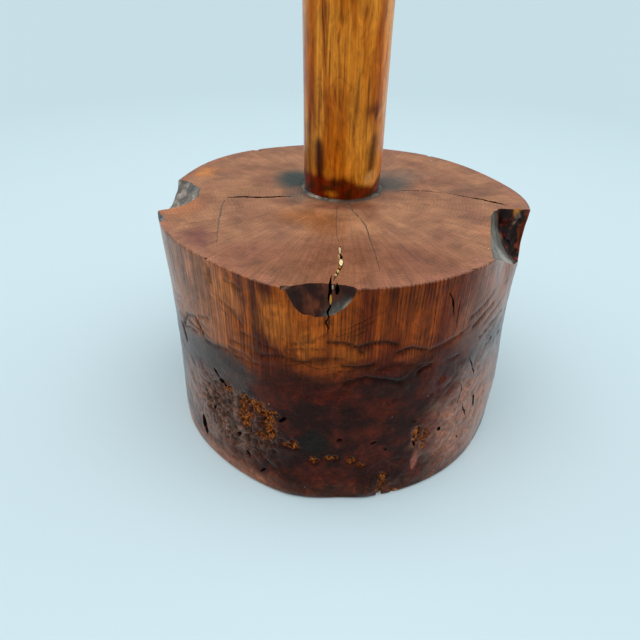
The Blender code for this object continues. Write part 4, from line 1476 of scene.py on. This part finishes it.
def make_handle():
    rows = handle_rows()
    degrees = np.linspace(-180.0, 180.0, HANDLE_COLUMNS, endpoint=False)
    rings = []
    for height, inset in rows:
        radius = stick_radius(degrees, np.full(len(degrees), float(height))) - inset
        angles = np.radians(degrees)
        ring = np.stack([AXIS_X + radius * np.cos(angles), AXIS_Y + radius * np.sin(angles)], -1)
        rings.append(np.column_stack([ring, np.full(len(degrees), height)]))
    top_rings = end_disc(rings, 10)
    foot_rings = end_disc([rings[0]], 10)[::-1]
    body = np.array(foot_rings + rings + top_rings)
    count = len(body)
    points = body.reshape(-1, 3)
    turn = np.tile(degrees, count)
    paint = stick_paint(points, turn, points[:, 2])
    axis_reach = np.hypot(points[:, 0] - AXIS_X, points[:, 1] - AXIS_Y)
    sawn = (points[:, 2] < HANDLE_FOOT + 0.2) | (points[:, 2] > HANDLE_TOP - 0.4)
    rings_shade = 0.5 + 0.5 * np.sin(axis_reach * 4.2 + noise_at(points, 4.0, 84))
    end_colour = mix(srgb(170, 118, 62), srgb(128, 78, 34), rings_shade)
    paint[sawn] = end_colour[sawn]
    relief = 0.12 * noise_at(points, 6.0, 85, (1.0, 1.0, 5.0)) + 0.06 * noise_at(points, 1.8, 86, (1.0, 1.0, 8.0))
    shown = smooth(HEAD_HEIGHT + 1.0, HEAD_HEIGHT + 8.0, points[:, 2]) * smooth(0.0, 3.0, HANDLE_TOP - points[:, 2])
    away = np.stack([np.cos(np.radians(turn)), np.sin(np.radians(turn)), np.zeros(len(turn))], -1)
    points = points + away * (relief * shown)[:, None]
    faces = wrapped_faces(count, HANDLE_COLUMNS, False).tolist()
    first = list(range(HANDLE_COLUMNS))[::-1]
    last = list(range((count - 1) * HANDLE_COLUMNS, count * HANDLE_COLUMNS))
    mesh = bpy.data.meshes.new("handle_fine")
    mesh.from_pydata((points * MM).tolist(), [], faces + [first, last])
    paint_mesh(mesh, paint, 1.0, 0.0)
    mesh.shade_smooth()
    mesh.materials.append(handle_material())
    handle = add_object("handle_fine", mesh)
    cut_kerf(handle)
    settle_paint(handle.data, {"kerf_wood": flat_paint(srgb(120, 80, 44))})
    handle.data.set_sharp_from_angle(angle=math.radians(45.0))
    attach(handle, "root")
    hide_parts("handle")
    return handle


KERF_ANGLE = 35.0
KERF_HEEL = 4.4
KERF_TIP = 1.6
KERF_TOP = 29.0


def cut_kerf(handle):
    """The saw kerf in the tenon's foot, a little wider all round than the wedge in it."""
    shape = bmesh.new()
    bmesh.ops.create_cube(shape, size=1.0)
    for vert in shape.verts:
        at_top = vert.co.z > 0.0
        vert.co.x *= 40.0 * MM
        vert.co.y *= (KERF_TIP if at_top else KERF_HEEL) * MM
        vert.co.z = (KERF_TOP if at_top else -1.0) * MM
    mesh = bpy.data.meshes.new("kerf")
    shape.to_mesh(mesh)
    shape.free()
    paint_mesh(mesh, srgb(120, 80, 44), 0.0, 0.0)
    mesh.materials.append(torn_material("kerf_wood", 0.8))
    kerf = add_object("kerf", mesh)
    kerf.location = (AXIS_X * MM, AXIS_Y * MM, 0.0)
    kerf.rotation_euler = (0.0, 0.0, math.radians(KERF_ANGLE))
    bpy.context.view_layer.update()
    cut(handle, kerf)


def finish_wedge():
    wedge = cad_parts["handle_wedge"]
    wedge.data.materials.clear()
    wedge.data.materials.append(plain_wood_material("wedge_wood", srgb(176, 132, 84), 0.6))


# ---------------------------------------------------------------- the bead of glue


def glue_material():
    """Dull glue with a coarse, dirty surface."""
    material, tree, shader = start_material("grey_glue", 0.42, specular=0.25)
    colour, _ = tone(tree)
    cloud = grain(tree, stretched(tree, (420.0, 420.0, 420.0)), detail=6.0, roughness=0.65)
    tree.links.new(scaled_colour(tree, colour, remap(tree, cloud, 0.34, 0.66, 0.5, 1.5)), shader.inputs["Base Color"])
    bumped(tree, shader, cloud, 0.0005, 0.6)
    return material


def glue_paint(points, degrees):
    """Bluish grey, brown in front, and a painted pale highlight at the front's left."""
    cloudy = noise_at(points, 5.0, 88) + 0.5 * noise_at(points, 2.0, 89)
    paint = mix(srgb(56, 62, 60), srgb(100, 94, 82), smooth(-0.4, 0.5, cloudy))
    brown = np.exp(-((angle_between(degrees, -84.0) / 42.0) ** 4))
    paint = mix(paint, srgb(66, 36, 22), 0.9 * brown * smooth(-0.7, -0.1, cloudy))
    # Painted highlight: a pale glint on the bead's front left.
    front_left_highlight = np.exp(-((angle_between(degrees, -122.0) / 18.0) ** 2))
    return mix(paint, srgb(176, 172, 158), 0.85 * front_left_highlight * smooth(-0.3, 0.3, cloudy))


def make_glue_bead():
    """A thin uneven ring of dried glue in the bore's mouth, thickest at the front."""
    columns, section = 240, 14
    degrees = np.linspace(-180.0, 180.0, columns, endpoint=False)
    angles = np.radians(degrees)
    inner, outer = 14.2, 16.1
    middle, half_width = (inner + outer) / 2, (outer - inner) / 2
    rings = []
    for step in range(section):
        turn = 2 * math.pi * step / section
        ring = np.stack([np.cos(angles), np.sin(angles), np.zeros(columns)], -1)
        swell = 1.0 + 0.3 * noise_at(ring * middle, 5.0, 87) + 0.15 * noise_at(ring * middle, 1.6, 86)
        radius = middle + half_width * (0.6 + 0.4 * swell) * math.cos(turn)
        height = HEAD_HEIGHT - 0.1 - 0.35 * math.cos(turn) + 0.5 * swell * math.sin(turn)
        ring[:, 0] = AXIS_X + radius * np.cos(angles)
        ring[:, 1] = AXIS_Y + radius * np.sin(angles)
        ring[:, 2] = height
        rings.append(ring)
    faces = wrapped_faces(section, columns, True)
    points = np.array(rings).reshape(-1, 3)
    mesh = make_mesh("glue_bead_fine", points, faces, glue_paint(points, np.tile(degrees, section)), 0.0, 0.0)
    mesh.materials.append(glue_material())
    bead = add_object("glue_bead_fine", mesh)
    turned_outward("glue_bead_fine", bead)
    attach(bead, "root")
    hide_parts("glue_bead")
    return bead


# ---------------------------------------------------------------- the set


def make_floor():
    bpy.ops.mesh.primitive_plane_add(size=12.0, location=(0.0, 0.0, 0.0))
    floor = bpy.context.object
    floor.name = "floor"
    material, tree, shader = start_material("floor", 0.85, specular=0.05)
    place = add_node(tree, "ShaderNodeTexCoord").outputs["Object"]
    away = add_node(tree, "ShaderNodeVectorMath", {0: place}, operation="LENGTH").outputs["Value"]
    # Painted light: the floor is lighter near the mallet and darker far off, a painted pool of light that offsets the
    # mallet's shadow.
    near, far = srgb(208, 229, 236), srgb(191, 212, 219)
    stops = ((0.0, near), (1.0, far))
    tree.links.new(ramp(tree, remap(tree, away, 0.1, 0.6, 0.0, 1.0), stops), shader.inputs["Base Color"])
    floor.data.materials.append(material)


def light_the_set():
    """A soft room, brighter at both sides than in front, and a very wide soft lamp overhead."""
    world = bpy.data.worlds.new("soft_room")
    world.use_nodes = True
    bpy.context.scene.world = world
    tree = world.node_tree
    way = add_node(tree, "ShaderNodeTexCoord").outputs["Generated"]
    parts = add_node(tree, "ShaderNodeSeparateXYZ", {"Vector": way})
    sides = maths(tree, "ABSOLUTE", parts.outputs["X"])
    behind = remap(tree, parts.outputs["Y"], -0.7, 0.7, 0.7, 0.95)
    strength = maths(tree, "MULTIPLY", behind, remap(tree, sides, 0.3, 0.95, 0.5, 2.5))
    backdrop = tree.nodes["Background"]
    backdrop.inputs["Color"].default_value = (0.93, 0.97, 1.0, 1.0)
    tree.links.new(maths(tree, "MULTIPLY", strength, ROOM_LIGHT), backdrop.inputs["Strength"])
    plain = add_node(tree, "ShaderNodeBackground", {"Color": (*srgb(208, 230, 237), 1.0), "Strength": 1.0})
    seen = add_node(tree, "ShaderNodeLightPath").outputs["Is Camera Ray"]
    both = add_node(
        tree, "ShaderNodeMixShader", {0: seen, 1: backdrop.outputs["Background"], 2: plain.outputs["Background"]}
    )
    tree.links.new(both.outputs["Shader"], tree.nodes["World Output"].inputs["Surface"])
    lamp = bpy.data.lights.new("overhead", "SUN")
    lamp.energy = OVERHEAD_LIGHT
    lamp.angle = math.radians(80.0)
    lamp.color = (1.0, 0.98, 0.96)
    obj = bpy.data.objects.new("overhead", lamp)
    bpy.context.scene.collection.objects.link(obj)
    obj.rotation_euler = (math.radians(14.0), 0.0, 0.0)


ROOM_LIGHT = 0.8
OVERHEAD_LIGHT = 1.45


def place_camera():
    """Close above the front of the head, looking down at it, with a normal lens."""
    camera = bpy.data.cameras.new("camera")
    camera.sensor_width = 36.0
    camera.lens = 32.6
    camera.clip_start = 0.01
    obj = bpy.data.objects.new("camera", camera)
    bpy.context.scene.collection.objects.link(obj)
    spot = Matrix.Translation((-0.0080, -0.2078, 0.1734))
    tilt = Matrix.Rotation(math.radians(90.0 - 33.77), 4, "X")
    roll = Matrix.Rotation(math.radians(0.93), 4, "Z")
    obj.matrix_world = spot @ tilt @ roll
    bpy.context.scene.camera = obj


bpy.context.scene.view_settings.view_transform = "Standard"
place_camera()
make_floor()
light_the_set()
make_head()
make_slivers()
make_handle()
finish_wedge()
make_glue_bead()
